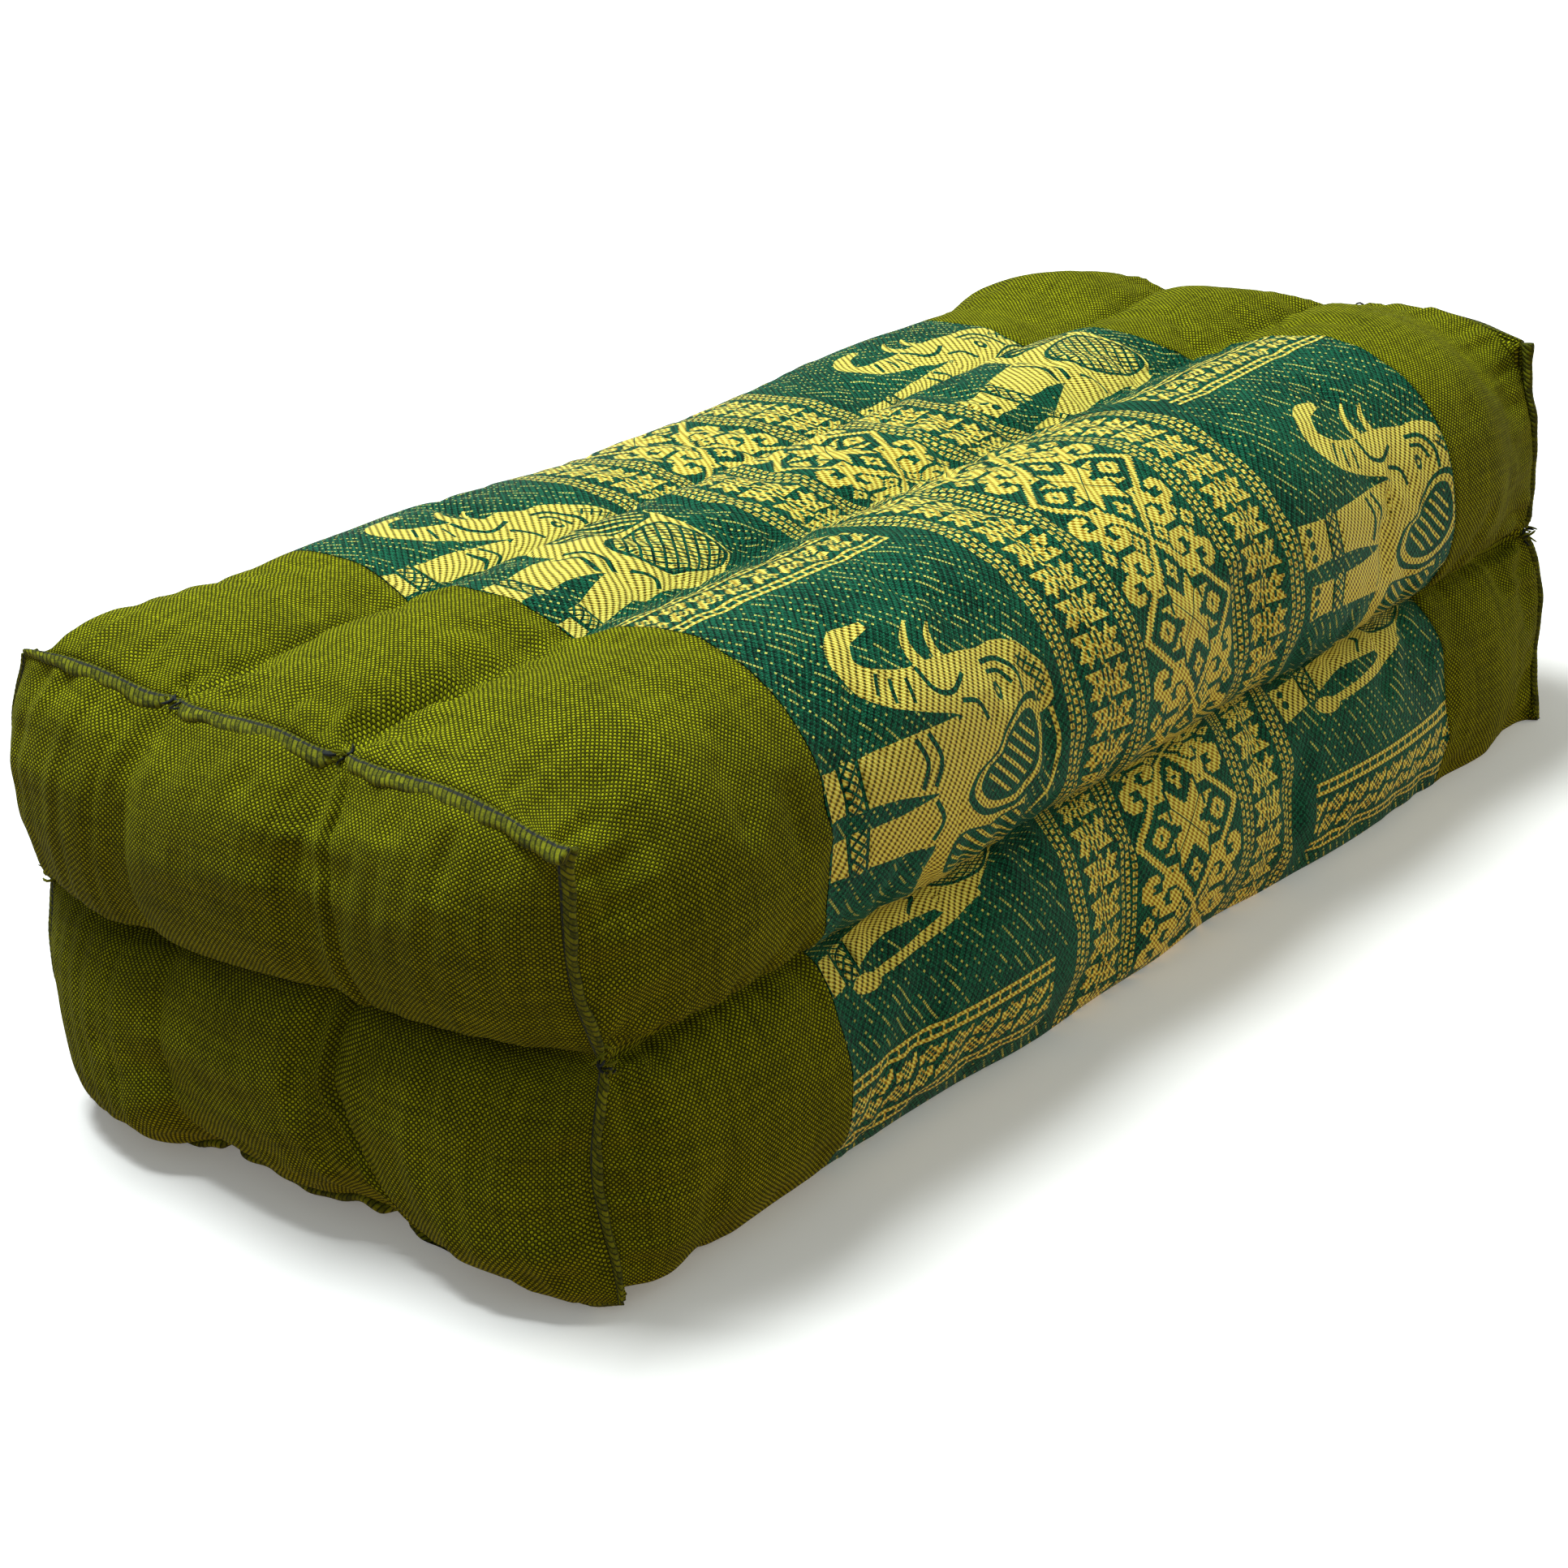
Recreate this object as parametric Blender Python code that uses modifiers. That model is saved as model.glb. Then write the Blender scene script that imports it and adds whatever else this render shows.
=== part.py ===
"""Long block cushion of six stuffed chambers, three across in two layers.

The frame: X runs along the cushion from the near end to the far end, Y across it with the
front at -Y, Z up. The origin is on the floor under the middle. Units are metres.

Every surface comes from one skin: six chambers side by side round the girth, and an end
panel over each open end. The body, the patterned panel and the end panels are cut from it.
"""

import math

import bmesh
import bpy
from mathutils import Vector

# The sewn box: where the end panels are seamed to the bands
LENGTH = 0.350
WIDTH = 0.150
HEIGHT = 0.100
CHANNEL_AT_SEAM = 0.027

# The full section, away from the ends: rounded chambers that swell past the sewn box
CORNER_CENTRE_Y = 0.0457
CORNER_HALF_WIDTH = 0.0397
UPPER_CENTRE_Z = 0.0741
UPPER_HALF_HEIGHT = 0.0362
LOWER_CENTRE_Z = 0.0239
LOWER_HALF_HEIGHT = 0.0341
SIDE_CHANNEL_Z = 0.0505
TOP_CHANNEL_Y = 0.0222
MIDDLE_CROWN = 0.0075
BOTTOM_CROWN = 0.0040
ROUNDNESS = 2.4

# How the section grows from the seam, and how it swells and sinks along its length
RISE_LENGTH = 0.036
RISE_ROUND = 0.60
SWELL = 0.0005
SWELL_PITCH = 0.071
UPPER_PHASE = 1.9

# The channels underneath, where the chambers are pressed flat on the floor
GROOVE_DEPTH = 0.0035
GROOVE_HALF_WIDTH = 0.009

# The seam between end panel and band: bowed on each chamber, drawn in at the channels
TOP_CORNER_DROP = 0.004
BOTTOM_CORNER_RISE = 0.001
BOTTOM_SEAM_Z = 0.0046
SEAM_BOW = 0.0025
SIDE_CHANNEL_PULL = 0.006
TOP_CHANNEL_PULL = 0.002

# The end panels: two rows of pillows with a deep fold between and soft pleats across
PANEL_BULGE = 0.015
PANEL_FOLD_DEPTH = 0.016
PANEL_PLEAT_DEPTH = 0.0035

# The patterned panel between the two plain bands
NEAR_BAND = 0.0625
FAR_BAND = 0.0533

# Cloth
CLOTH = 0.0012
GAP = 0.0003

# The overlocked seam edge that stands out round each end panel
EDGE_WIDTH = 0.0038
EDGE_THICKNESS = 0.0016
EDGE_BREAK = 0.0022

# Mesh steps
CORNER_STEPS = 12
MIDDLE_STEPS = 6
EDGE_STEPS = 7
BAND_SHARES = (0.0, 0.035, 0.10, 0.20, 0.34, 0.50, 0.72, 1.0)
PANEL_STEPS = 13
STEP_RUN = 0.0001

NEAR = -1
FAR = 1
FRONT_LOW, FRONT_UP, TOP_MIDDLE, BACK_UP, BACK_LOW, BOTTOM_MIDDLE = range(6)
CORNER_CHAMBERS = (FRONT_LOW, FRONT_UP, BACK_UP, BACK_LOW)
UPPER_CHAMBERS = (FRONT_UP, TOP_MIDDLE, BACK_UP)
FRONT_CHAMBERS = (FRONT_LOW, FRONT_UP)
CHAMBER_NAMES = ("front_low", "front_up", "top_mid", "back_up", "back_low", "bottom_mid")


def clear_scene():
    for obj in list(bpy.data.objects):
        bpy.data.objects.remove(obj)


def fabric(name, colour, roughness):
    material = bpy.data.materials.new(name)
    material.use_nodes = True
    shader = material.node_tree.nodes["Principled BSDF"]
    shader.inputs["Base Color"].default_value = (*colour, 1.0)
    shader.inputs["Roughness"].default_value = roughness
    shader.inputs["Metallic"].default_value = 0.0
    return material


def mix(a, b, share):
    return a + (b - a) * share


def ease(value):
    """Hermite step from 0 to 1."""
    value = min(max(value, 0.0), 1.0)
    return value * value * (3.0 - 2.0 * value)


def rounded_side(offset, half_across, half_along):
    """How far a rounded chamber reaches at an offset from its centre."""
    ratio = min(abs(offset) / half_across, 0.9999)
    return half_along * (1.0 - ratio ** ROUNDNESS) ** (1.0 / ROUNDNESS)


def rise(inset):
    """Share of the full section reached at a distance in from the seam."""
    reach = min(max(inset / RISE_LENGTH, 0.0), 1.0)
    round_rise = math.sqrt(max(1.0 - (1.0 - reach) ** 2, 0.0))
    return mix(ease(reach), round_rise, RISE_ROUND)


def full_section(chamber, share):
    """Point (y, z) of a chamber's full section; share runs from its first channel to its last."""
    upper = chamber in UPPER_CHAMBERS
    centre_z = UPPER_CENTRE_Z if upper else LOWER_CENTRE_Z
    half_z = UPPER_HALF_HEIGHT if upper else LOWER_HALF_HEIGHT
    channel_out = CORNER_CENTRE_Y - TOP_CHANNEL_Y
    channel_up = rounded_side(channel_out, CORNER_HALF_WIDTH, half_z)
    if chamber not in CORNER_CHAMBERS:
        across = 2.0 * share - 1.0 if upper else 1.0 - 2.0 * share
        crown = MIDDLE_CROWN if upper else BOTTOM_CROWN
        up = channel_up + crown * (1.0 - abs(across) ** 2.2)
        return across * TOP_CHANNEL_Y, centre_z + (up if upper else -up)
    side_down = abs(centre_z - SIDE_CHANNEL_Z)
    side_out = rounded_side(side_down, half_z, CORNER_HALF_WIDTH)
    start = math.atan2(-side_down, side_out)
    end = math.atan2(channel_up, -channel_out)
    from_side = share if chamber in (FRONT_UP, BACK_LOW) else 1.0 - share
    angle = mix(start, end, from_side)
    reach = (abs(math.cos(angle)) / CORNER_HALF_WIDTH) ** ROUNDNESS
    reach += (abs(math.sin(angle)) / half_z) ** ROUNDNESS
    reach = reach ** (-1.0 / ROUNDNESS)
    y = CORNER_CENTRE_Y + reach * math.cos(angle)
    up = reach * math.sin(angle)
    side = -1.0 if chamber in FRONT_CHAMBERS else 1.0
    return side * y, centre_z + (up if upper else -up)


def soft_ramp(value, softness):
    """Rises from 0 at -1 to 1 at +1 with a bend at 0 that softness rounds."""
    bend = math.sqrt(value * value + softness * softness)
    return 0.5 * (value + 1.0 + bend - math.sqrt(1.0 + softness * softness))


def seam_section(chamber, share, softness):
    """Point (y, z) on the sewn box, whose corner softness rounds."""
    upper = chamber in UPPER_CHAMBERS
    flat_z = HEIGHT if upper else BOTTOM_SEAM_Z
    bow = SEAM_BOW * math.sin(math.pi * share) ** 2
    if chamber not in CORNER_CHAMBERS:
        across = 2.0 * share - 1.0 if upper else 1.0 - 2.0 * share
        return across * CHANNEL_AT_SEAM, flat_z + (bow if upper else -bow)
    side = -1.0 if chamber in FRONT_CHAMBERS else 1.0
    corner_z = flat_z - TOP_CORNER_DROP if upper else flat_z + BOTTOM_CORNER_RISE
    channel = Vector((side * CHANNEL_AT_SEAM, flat_z))
    corner = Vector((side * WIDTH / 2.0, corner_z))
    middle = Vector((side * WIDTH / 2.0, HEIGHT / 2.0))
    from_side = share if chamber in (FRONT_UP, BACK_LOW) else 1.0 - share
    to_side = soft_ramp(1.0 - 2.0 * from_side, softness)
    to_channel = soft_ramp(2.0 * from_side - 1.0, softness)
    point = corner + (middle - corner) * to_side + (channel - corner) * to_channel
    half_bow = SEAM_BOW * math.sin(2.0 * math.pi * from_side) ** 2
    if from_side < 0.5:
        point.x += side * half_bow
    else:
        point.y += half_bow if upper else -half_bow
    return point.x, point.y


def seam_pull(chamber, share):
    """How far the seam is drawn in along X: most at the side channels, a little at the others."""
    if chamber not in CORNER_CHAMBERS:
        at_channel = abs(2.0 * share - 1.0) ** 6
        return TOP_CHANNEL_PULL * at_channel
    from_side = share if chamber in (FRONT_UP, BACK_LOW) else 1.0 - share
    side_pull = SIDE_CHANNEL_PULL * max(1.0 - 3.0 * from_side, 0.0) ** 2
    return side_pull + TOP_CHANNEL_PULL * from_side ** 12


def groove(y):
    """Height of the channels' grooves over the floor."""
    off_channel = abs(abs(y) - TOP_CHANNEL_Y) / GROOVE_HALF_WIDTH
    return GROOVE_DEPTH * max(1.0 - off_channel, 0.0) ** 2


def girth_point(chamber, share, inset_near, inset_far):
    """Point of the skin round the girth, between the two end seams."""
    inset = min(inset_near, inset_far)
    end = NEAR if inset_near < inset_far else FAR
    grown = rise(inset)
    x = inset_near - LENGTH / 2.0
    phase = 2.0 * math.pi * x / SWELL_PITCH
    phase += UPPER_PHASE if chamber in UPPER_CHAMBERS else 0.0
    swell = 1.0 + SWELL / CORNER_HALF_WIDTH * math.sin(phase) * grown
    full_y, full_z = full_section(chamber, share)
    seam_y, seam_z = seam_section(chamber, share, 0.01 + 0.9 * grown)
    y = mix(seam_y, full_y * swell, grown)
    if chamber not in UPPER_CHAMBERS:
        full_z = max(full_z, 0.0) + groove(full_y)
    z = mix(seam_z, full_z, grown)
    x -= end * seam_pull(chamber, share) * (1.0 - ease(inset / RISE_LENGTH))
    return Vector((x, y, max(z, 0.0)))


def seam_place(column, row):
    """Chamber and share at a grid place on the rim of an end panel."""
    half = CORNER_STEPS // 2
    last_column = 2 * half + MIDDLE_STEPS
    last_row = 2 * half
    if row == last_row:
        if column <= half:
            return FRONT_UP, 0.5 + column / CORNER_STEPS
        if column <= half + MIDDLE_STEPS:
            return TOP_MIDDLE, (column - half) / MIDDLE_STEPS
        return BACK_UP, (column - half - MIDDLE_STEPS) / CORNER_STEPS
    if row == 0:
        if column <= half:
            return FRONT_LOW, 0.5 - column / CORNER_STEPS
        if column <= half + MIDDLE_STEPS:
            return BOTTOM_MIDDLE, 1.0 - (column - half) / MIDDLE_STEPS
        return BACK_LOW, 1.0 - (column - half - MIDDLE_STEPS) / CORNER_STEPS
    if column == 0:
        if row >= half:
            return FRONT_UP, (row - half) / CORNER_STEPS
        return FRONT_LOW, 0.5 + row / CORNER_STEPS
    if column == last_column:
        if row >= half:
            return BACK_UP, 0.5 + (last_row - row) / CORNER_STEPS
        return BACK_LOW, (half - row) / CORNER_STEPS
    return None


def end_rim(end, column, row):
    chamber, share = seam_place(column, row)
    inset_near, inset_far = (0.0, LENGTH) if end == NEAR else (LENGTH, 0.0)
    return girth_point(chamber, share, inset_near, inset_far)


def panel_bulge(across, up):
    """How far an end panel stands out of its rim; across and up run from -1 to 1."""
    pillow = (1.0 - abs(across) ** 2.6) ** 0.62 * (1.0 - abs(up) ** 2.4) ** 0.62
    fold = PANEL_FOLD_DEPTH * math.exp(-((up / 0.16) ** 2)) * (1.0 - across ** 8)
    pleats = sum(math.exp(-(((across - place) / 0.10) ** 2)) for place in (-0.36, 0.36))
    pleat = PANEL_PLEAT_DEPTH * pleats * (1.0 - abs(up) ** 4)
    return PANEL_BULGE * pillow - fold * (1.0 - up * up) - pleat


def panel_point(end, column, row):
    """Point of an end panel: its rim carried inwards, and bulged."""
    columns = CORNER_STEPS + MIDDLE_STEPS
    rows = CORNER_STEPS
    if seam_place(column, row) is not None:
        return end_rim(end, column, row)
    u = column / columns
    v = row / rows
    left, right = end_rim(end, 0, row), end_rim(end, columns, row)
    low, high = end_rim(end, column, 0), end_rim(end, column, rows)
    corners = (
        end_rim(end, 0, 0) * (1.0 - u) * (1.0 - v)
        + end_rim(end, columns, 0) * u * (1.0 - v)
        + end_rim(end, 0, rows) * (1.0 - u) * v
        + end_rim(end, columns, rows) * u * v
    )
    point = left.lerp(right, u) + low.lerp(high, v) - corners
    point.x += end * panel_bulge(2.0 * u - 1.0, 2.0 * v - 1.0)
    return point


def girth_places():
    """Chamber and share of each mesh line round the girth, in order."""
    places = []
    for chamber in range(6):
        steps = CORNER_STEPS if chamber in CORNER_CHAMBERS else MIDDLE_STEPS
        places += [(chamber, step / steps) for step in range(steps)]
    return places


def band_stations():
    """Distances from the near seam: near band, patterned panel, far band."""
    panel_length = LENGTH - NEAR_BAND - FAR_BAND
    near = [NEAR_BAND * share for share in BAND_SHARES]
    middle = [NEAR_BAND + panel_length * step / PANEL_STEPS for step in range(1, PANEL_STEPS)]
    far = [LENGTH - FAR_BAND * share for share in reversed(BAND_SHARES)]
    return near, middle, far


def skin_mesh(stations):
    """The whole closed skin, with the ring of vertices at each station and each end's grid."""
    mesh = bmesh.new()
    places = girth_places()
    rings = []
    for station in stations:
        points = (girth_point(*place, station, LENGTH - station) for place in places)
        rings.append([mesh.verts.new(point) for point in points])
    around = len(places)
    for first, second in zip(rings, rings[1:]):
        for index in range(around):
            following = (index + 1) % around
            mesh.faces.new((first[index], second[index], second[following], first[following]))
    grids = {}
    for end, ring in ((NEAR, rings[0]), (FAR, rings[-1])):
        grids[end] = end_grid(mesh, end, dict(zip(places, ring)))
    bmesh.ops.recalc_face_normals(mesh, faces=mesh.faces)
    mesh.normal_update()
    return mesh, rings, grids


def end_grid(mesh, end, rim):
    """Grid of vertices over an open end, using the girth's own vertices as its rim."""
    columns = CORNER_STEPS + MIDDLE_STEPS
    rows = CORNER_STEPS
    grid = []
    for row in range(rows + 1):
        line = []
        for column in range(columns + 1):
            place = seam_place(column, row)
            if place is None:
                line.append(mesh.verts.new(panel_point(end, column, row)))
            else:
                line.append(rim[tidy_place(place)])
        grid.append(line)
    for row in range(rows):
        for column in range(columns):
            corners = (grid[row][column], grid[row][column + 1])
            corners += (grid[row + 1][column + 1], grid[row + 1][column])
            mesh.faces.new(corners)
    return grid


def tidy_place(place):
    """The end of one chamber is the start of the next."""
    chamber, share = place
    steps = CORNER_STEPS if chamber in CORNER_CHAMBERS else MIDDLE_STEPS
    step = round(share * steps)
    if step == steps:
        return (chamber + 1) % 6, 0.0
    return chamber, step / steps


def finish_object(name, mesh, material, collection):
    data = bpy.data.meshes.new(name)
    mesh.to_mesh(data)
    mesh.free()
    data.materials.append(material)
    obj = bpy.data.objects.new(name, data)
    collection.objects.link(obj)
    data.shade_smooth()
    data.set_sharp_from_angle(angle=math.radians(50.0))
    return obj


def inward_moves(mesh, rings):
    """Direction under the cloth at each vertex: square to the skin, but along X at an end's rim."""
    inward = {vert: -vert.normal for vert in mesh.verts}
    for end, ring in ((NEAR, rings[0]), (FAR, rings[-1])):
        for vert in ring:
            inward[vert] = Vector((-end, 0.0, 0.0))
    return inward


def make_body(material, collection):
    """The filled solid: bands on its surface, sunk by the cloth under the three sewn-on panels."""
    near, middle, far = band_stations()
    near[-1] -= GAP
    far[0] += GAP
    sunk = [near[-1] + STEP_RUN, NEAR_BAND] + middle + [LENGTH - FAR_BAND, far[0] - STEP_RUN]
    mesh, rings, grids = skin_mesh(near + sunk + far)
    inward = inward_moves(mesh, rings)
    under_panels = set()
    for row in rings[len(near):len(near) + len(sunk)] + grids[NEAR] + grids[FAR]:
        under_panels.update(row)
    for vert in under_panels:
        vert.co += inward[vert] * (CLOTH + GAP)
    return finish_object("cushion_body", mesh, material, collection)


def cloth_panel(name, mesh, inward, kept, material, collection):
    """Cuts the kept vertices' faces out of the skin and gives them the cloth's thickness."""
    bmesh.ops.delete(mesh, geom=[v for v in mesh.verts if v not in kept], context="VERTS")
    outer_faces = list(mesh.faces)
    rim = [edge for edge in mesh.edges if edge.is_boundary]
    copy = bmesh.ops.duplicate(mesh, geom=list(mesh.verts) + list(mesh.edges) + outer_faces)
    under = copy["vert_map"]
    for vert in kept:
        under[vert].co += inward[vert] * CLOTH
    inner_faces = [item for item in copy["geom"] if isinstance(item, bmesh.types.BMFace)]
    bmesh.ops.reverse_faces(mesh, faces=inner_faces)
    for edge in rim:
        first, second = edge.verts
        if edge.link_loops[0].vert is first:
            first, second = second, first
        mesh.faces.new((first, second, under[second], under[first]))
    return finish_object(name, mesh, material, collection)


def make_patterned_panel(material, collection):
    """A sleeve of cloth round the middle of the body."""
    near, middle, far = band_stations()
    mesh, rings, grids = skin_mesh(near + middle + far)
    inward = inward_moves(mesh, rings)
    kept = set()
    for ring in rings[len(near) - 1:len(near) + len(middle) + 1]:
        kept.update(ring)
    return cloth_panel("patterned_panel", mesh, inward, kept, material, collection)


def make_end_panel(name, end, material, collection):
    near, middle, far = band_stations()
    mesh, rings, grids = skin_mesh(near + middle + far)
    inward = inward_moves(mesh, rings)
    kept = set()
    for line in grids[end]:
        kept.update(line)
    return cloth_panel(name, mesh, inward, kept, material, collection)


def edge_runs():
    """Each stretch of seam edge between two breaks: name, chamber, and its share of the chamber."""
    runs = []
    for chamber in range(6):
        name = CHAMBER_NAMES[chamber]
        if chamber not in CORNER_CHAMBERS:
            runs.append((name, chamber, 0.0, 1.0))
            continue
        runs.append((name + "_a", chamber, 0.0, 0.5))
        runs.append((name + "_b", chamber, 0.5, 1.0))
    return runs


def outward(chamber, share):
    """Direction square to the seam, away from the cushion, in the end's plane."""
    on_side = share < 0.5 if chamber in (FRONT_UP, BACK_LOW) else share > 0.5
    if chamber in CORNER_CHAMBERS and on_side:
        return Vector((0.0, -1.0 if chamber in FRONT_CHAMBERS else 1.0, 0.0))
    return Vector((0.0, 0.0, 1.0 if chamber in UPPER_CHAMBERS else -1.0))


def make_edge_run(end, run, material, collection):
    """One raised stretch of overlocked seam edge, standing out past the end panel."""
    name, chamber, first, last = run
    place = 0.5 * (first + last)
    away = outward(chamber, place)
    insets = (0.0, LENGTH) if end == NEAR else (LENGTH, 0.0)
    span = (girth_point(chamber, last, *insets) - girth_point(chamber, first, *insets)).length
    trim = EDGE_BREAK / span * (last - first)
    mesh = bmesh.new()
    rows = []
    for step in range(EDGE_STEPS + 1):
        share = mix(first + trim, last - trim, step / EDGE_STEPS)
        root = girth_point(chamber, share, *insets)
        root += away * (GAP + EDGE_THICKNESS)
        root.x += end * GAP
        tip = root + Vector((end * EDGE_WIDTH, 0.0, 0.0))
        rows.append((mesh.verts.new(root), mesh.verts.new(tip)))
    for (root_a, tip_a), (root_b, tip_b) in zip(rows, rows[1:]):
        mesh.faces.new((root_a, tip_a, tip_b, root_b))
    mesh.normal_update()
    face_out = sum((face.normal for face in mesh.faces), Vector())
    if face_out.dot(away) < 0.0:
        bmesh.ops.reverse_faces(mesh, faces=mesh.faces)
    label = "near" if end == NEAR else "far"
    data = bpy.data.meshes.new(name)
    mesh.to_mesh(data)
    mesh.free()
    data.materials.append(material)
    obj = bpy.data.objects.new(f"seam_edge_{label}_{name}", data)
    collection.objects.link(obj)
    shell = obj.modifiers.new("thickness", "SOLIDIFY")
    shell.thickness = EDGE_THICKNESS
    shell.offset = -1.0
    return obj


def build():
    clear_scene()
    collection = bpy.data.collections.new("block_cushion")
    bpy.context.scene.collection.children.link(collection)
    cotton = fabric("olive_cotton", (0.14, 0.16, 0.012), 0.9)
    brocade = fabric("gold_green_brocade", (0.10, 0.14, 0.05), 0.7)
    edging = fabric("olive_overlock", (0.12, 0.14, 0.012), 0.95)
    make_body(cotton, collection)
    make_patterned_panel(brocade, collection)
    make_end_panel("end_panel_near", NEAR, cotton, collection)
    make_end_panel("end_panel_far", FAR, cotton, collection)
    for end in (NEAR, FAR):
        for run in edge_runs():
            make_edge_run(end, run, edging, collection)


build()
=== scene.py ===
import math

import bpy
import numpy as np
from mathutils import Matrix, Vector
from mathutils.geometry import delaunay_2d_cdt


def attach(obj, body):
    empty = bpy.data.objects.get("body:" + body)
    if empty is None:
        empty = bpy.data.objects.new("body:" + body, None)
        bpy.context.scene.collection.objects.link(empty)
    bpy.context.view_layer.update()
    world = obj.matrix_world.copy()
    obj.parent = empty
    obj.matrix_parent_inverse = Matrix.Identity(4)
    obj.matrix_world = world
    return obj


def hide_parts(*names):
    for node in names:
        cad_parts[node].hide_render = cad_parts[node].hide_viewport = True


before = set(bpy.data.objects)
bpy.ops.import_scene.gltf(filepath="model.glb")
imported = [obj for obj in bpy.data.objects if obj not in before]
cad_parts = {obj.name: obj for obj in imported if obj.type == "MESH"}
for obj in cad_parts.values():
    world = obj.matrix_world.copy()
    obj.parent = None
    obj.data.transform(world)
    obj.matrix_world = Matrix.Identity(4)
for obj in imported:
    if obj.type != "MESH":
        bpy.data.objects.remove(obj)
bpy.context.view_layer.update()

# Sizes of the skin, in metres, the same as in the part's source
LENGTH, WIDTH, HEIGHT, CHANNEL_AT_SEAM = 0.350, 0.150, 0.100, 0.027
CORNER_CENTRE_Y, CORNER_HALF_WIDTH = 0.0457, 0.0397
UPPER_CENTRE_Z, UPPER_HALF_HEIGHT = 0.0741, 0.0362
LOWER_CENTRE_Z, LOWER_HALF_HEIGHT = 0.0239, 0.0341
SIDE_CHANNEL_Z, TOP_CHANNEL_Y = 0.0505, 0.0222
MIDDLE_CROWN, BOTTOM_CROWN, ROUNDNESS = 0.0075, 0.0040, 2.4
RISE_LENGTH, RISE_ROUND = 0.036, 0.60
SWELL, SWELL_PITCH, UPPER_PHASE = 0.0005, 0.071, 1.9
GROOVE_DEPTH, GROOVE_HALF_WIDTH = 0.0035, 0.009
TOP_CORNER_DROP, BOTTOM_CORNER_RISE, BOTTOM_SEAM_Z = 0.004, 0.001, 0.0046
SEAM_BOW, SIDE_CHANNEL_PULL, TOP_CHANNEL_PULL = 0.0025, 0.006, 0.002
NEAR_BAND, FAR_BAND = 0.0625, 0.0533
CLOTH, GAP = 0.0012, 0.0003
EDGE_WIDTH, EDGE_THICKNESS, EDGE_BREAK = 0.0038, 0.0019, 0.0022

AMBIENT = 0.35

HALF = LENGTH / 2
NEAR_BORDER, FAR_BORDER = NEAR_BAND - HALF, HALF - FAR_BAND
NEAR, FAR = -1, 1
CHAMBER_NAMES = ("front_low", "front_up", "top_mid", "back_up", "back_low", "bottom_mid")
SIDE_SHARE = 1.0 / 3.0

# The woven pattern, in millimetres of cloth
BAND_CENTRE, FRAME_AT, FRAME_PITCH = 5.0, 183.3, 38.9
FRAME_CELL = (0.81, FRAME_PITCH / 48)
CROSS_REACH, CROSS_LINE = 6.6, 0.20
DOT_BANDS, DOT_PITCH, DOT_LENGTH = (18.9, 39.4), 1.80, 2.02
MOTIF_BAND, MOTIF_CELL, MOTIF_AT = (25.1, 37.9), (12.8 / 19, 0.817), 176.9
BAND_HALF = 45.6
DIVIDER, DIVIDER_PITCH = 47.2, 4 * FRAME_PITCH
DIVIDER_LINES, DIVIDER_FROM, DIVIDER_REACH = (6.5, 8.9), 53.0, 9.6
LEAF_CELL, LEAF_PITCH, LEAF_FROM, LEAF_START, LEAF_REACH = 0.8, 8.0, 102.95, 5.85, 4.79
RUNG_PITCH, RUNG_LENGTH, RUNG_AT, RUNG_REACH = 3.3, 0.55, 7.8, 1.2
NET_PITCHES, STRIPE_PITCH = (2.5, 3.1), 2.6
STITCH_ROW, STITCH_LENGTH, STITCH_SLANT = 2.45, 0.72, (0.844, 0.536)
GROUND_CELL = (0.525, 0.430)
ELEPHANT_FEET, ELEPHANT_LENGTH = (-115.5, 54.0), 0.955
THREADS = (0.59, 0.555)
OVERLOCK_PITCH, NAVY_PITCH = 1.25, 2.6
# What the mesh of the patterned panel says of a face that belongs to an elephant
GOLD, NET, STRIPES, DARK = 1.0, 2.0, 3.0, 4.0

# Quarter of a lozenge of the middle band, one letter a thread: rows go out from its middle
LOZENGE = [
    "####.....###.###....###",
    "######....#####....###.",
    "#######....###....###..",
    "#########........###...",
    "##########......###....",
    "############...###.....",
    ".#####........###......",
    "..####.......###.......",
    "...###......###........",
    "....##.#######..####...",
    "#....#.##.###..######..",
    "#......######..#######.",
    "##....########....####.",
    ".##..#########...#####.",
    "##...#########....####.",
    "#...####....##########.",
    "#...###.###..########..",
    "...###.####...#####....",
    "..###.#####..####......",
    "..###.####...#####.....",
    ".###..############.....",
    ".##..#.##########..#...",
    "##..###.########..###..",
    "#..##.##.........##.##.",
]
# Left half of the comb-shaped motif, from its top; the right half is the same turned half round
COMB = [
    "#########",
    ".###.##.#",
    "..##.##.#",
    "...######",
    "..##.##.#",
    ".###.##.#",
    "######.##",
    "...##...#",
    "...#....#",
]
LEAVES = [
    "....##....",
    "...##.#.##",
    "..##.#.###",
    ".####.#.##",
    ".##.##.#..",
    ".#....#...",
]


# Camera, floor and lights

SENSOR_WIDTH, FOCAL_PIXELS, PHOTO_PIXELS = 36.0, 3958.78, 1932.0


def linked(name, data):
    """New object of the scene."""
    obj = bpy.data.objects.new(name, data)
    bpy.context.scene.collection.objects.link(obj)
    return obj


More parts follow.
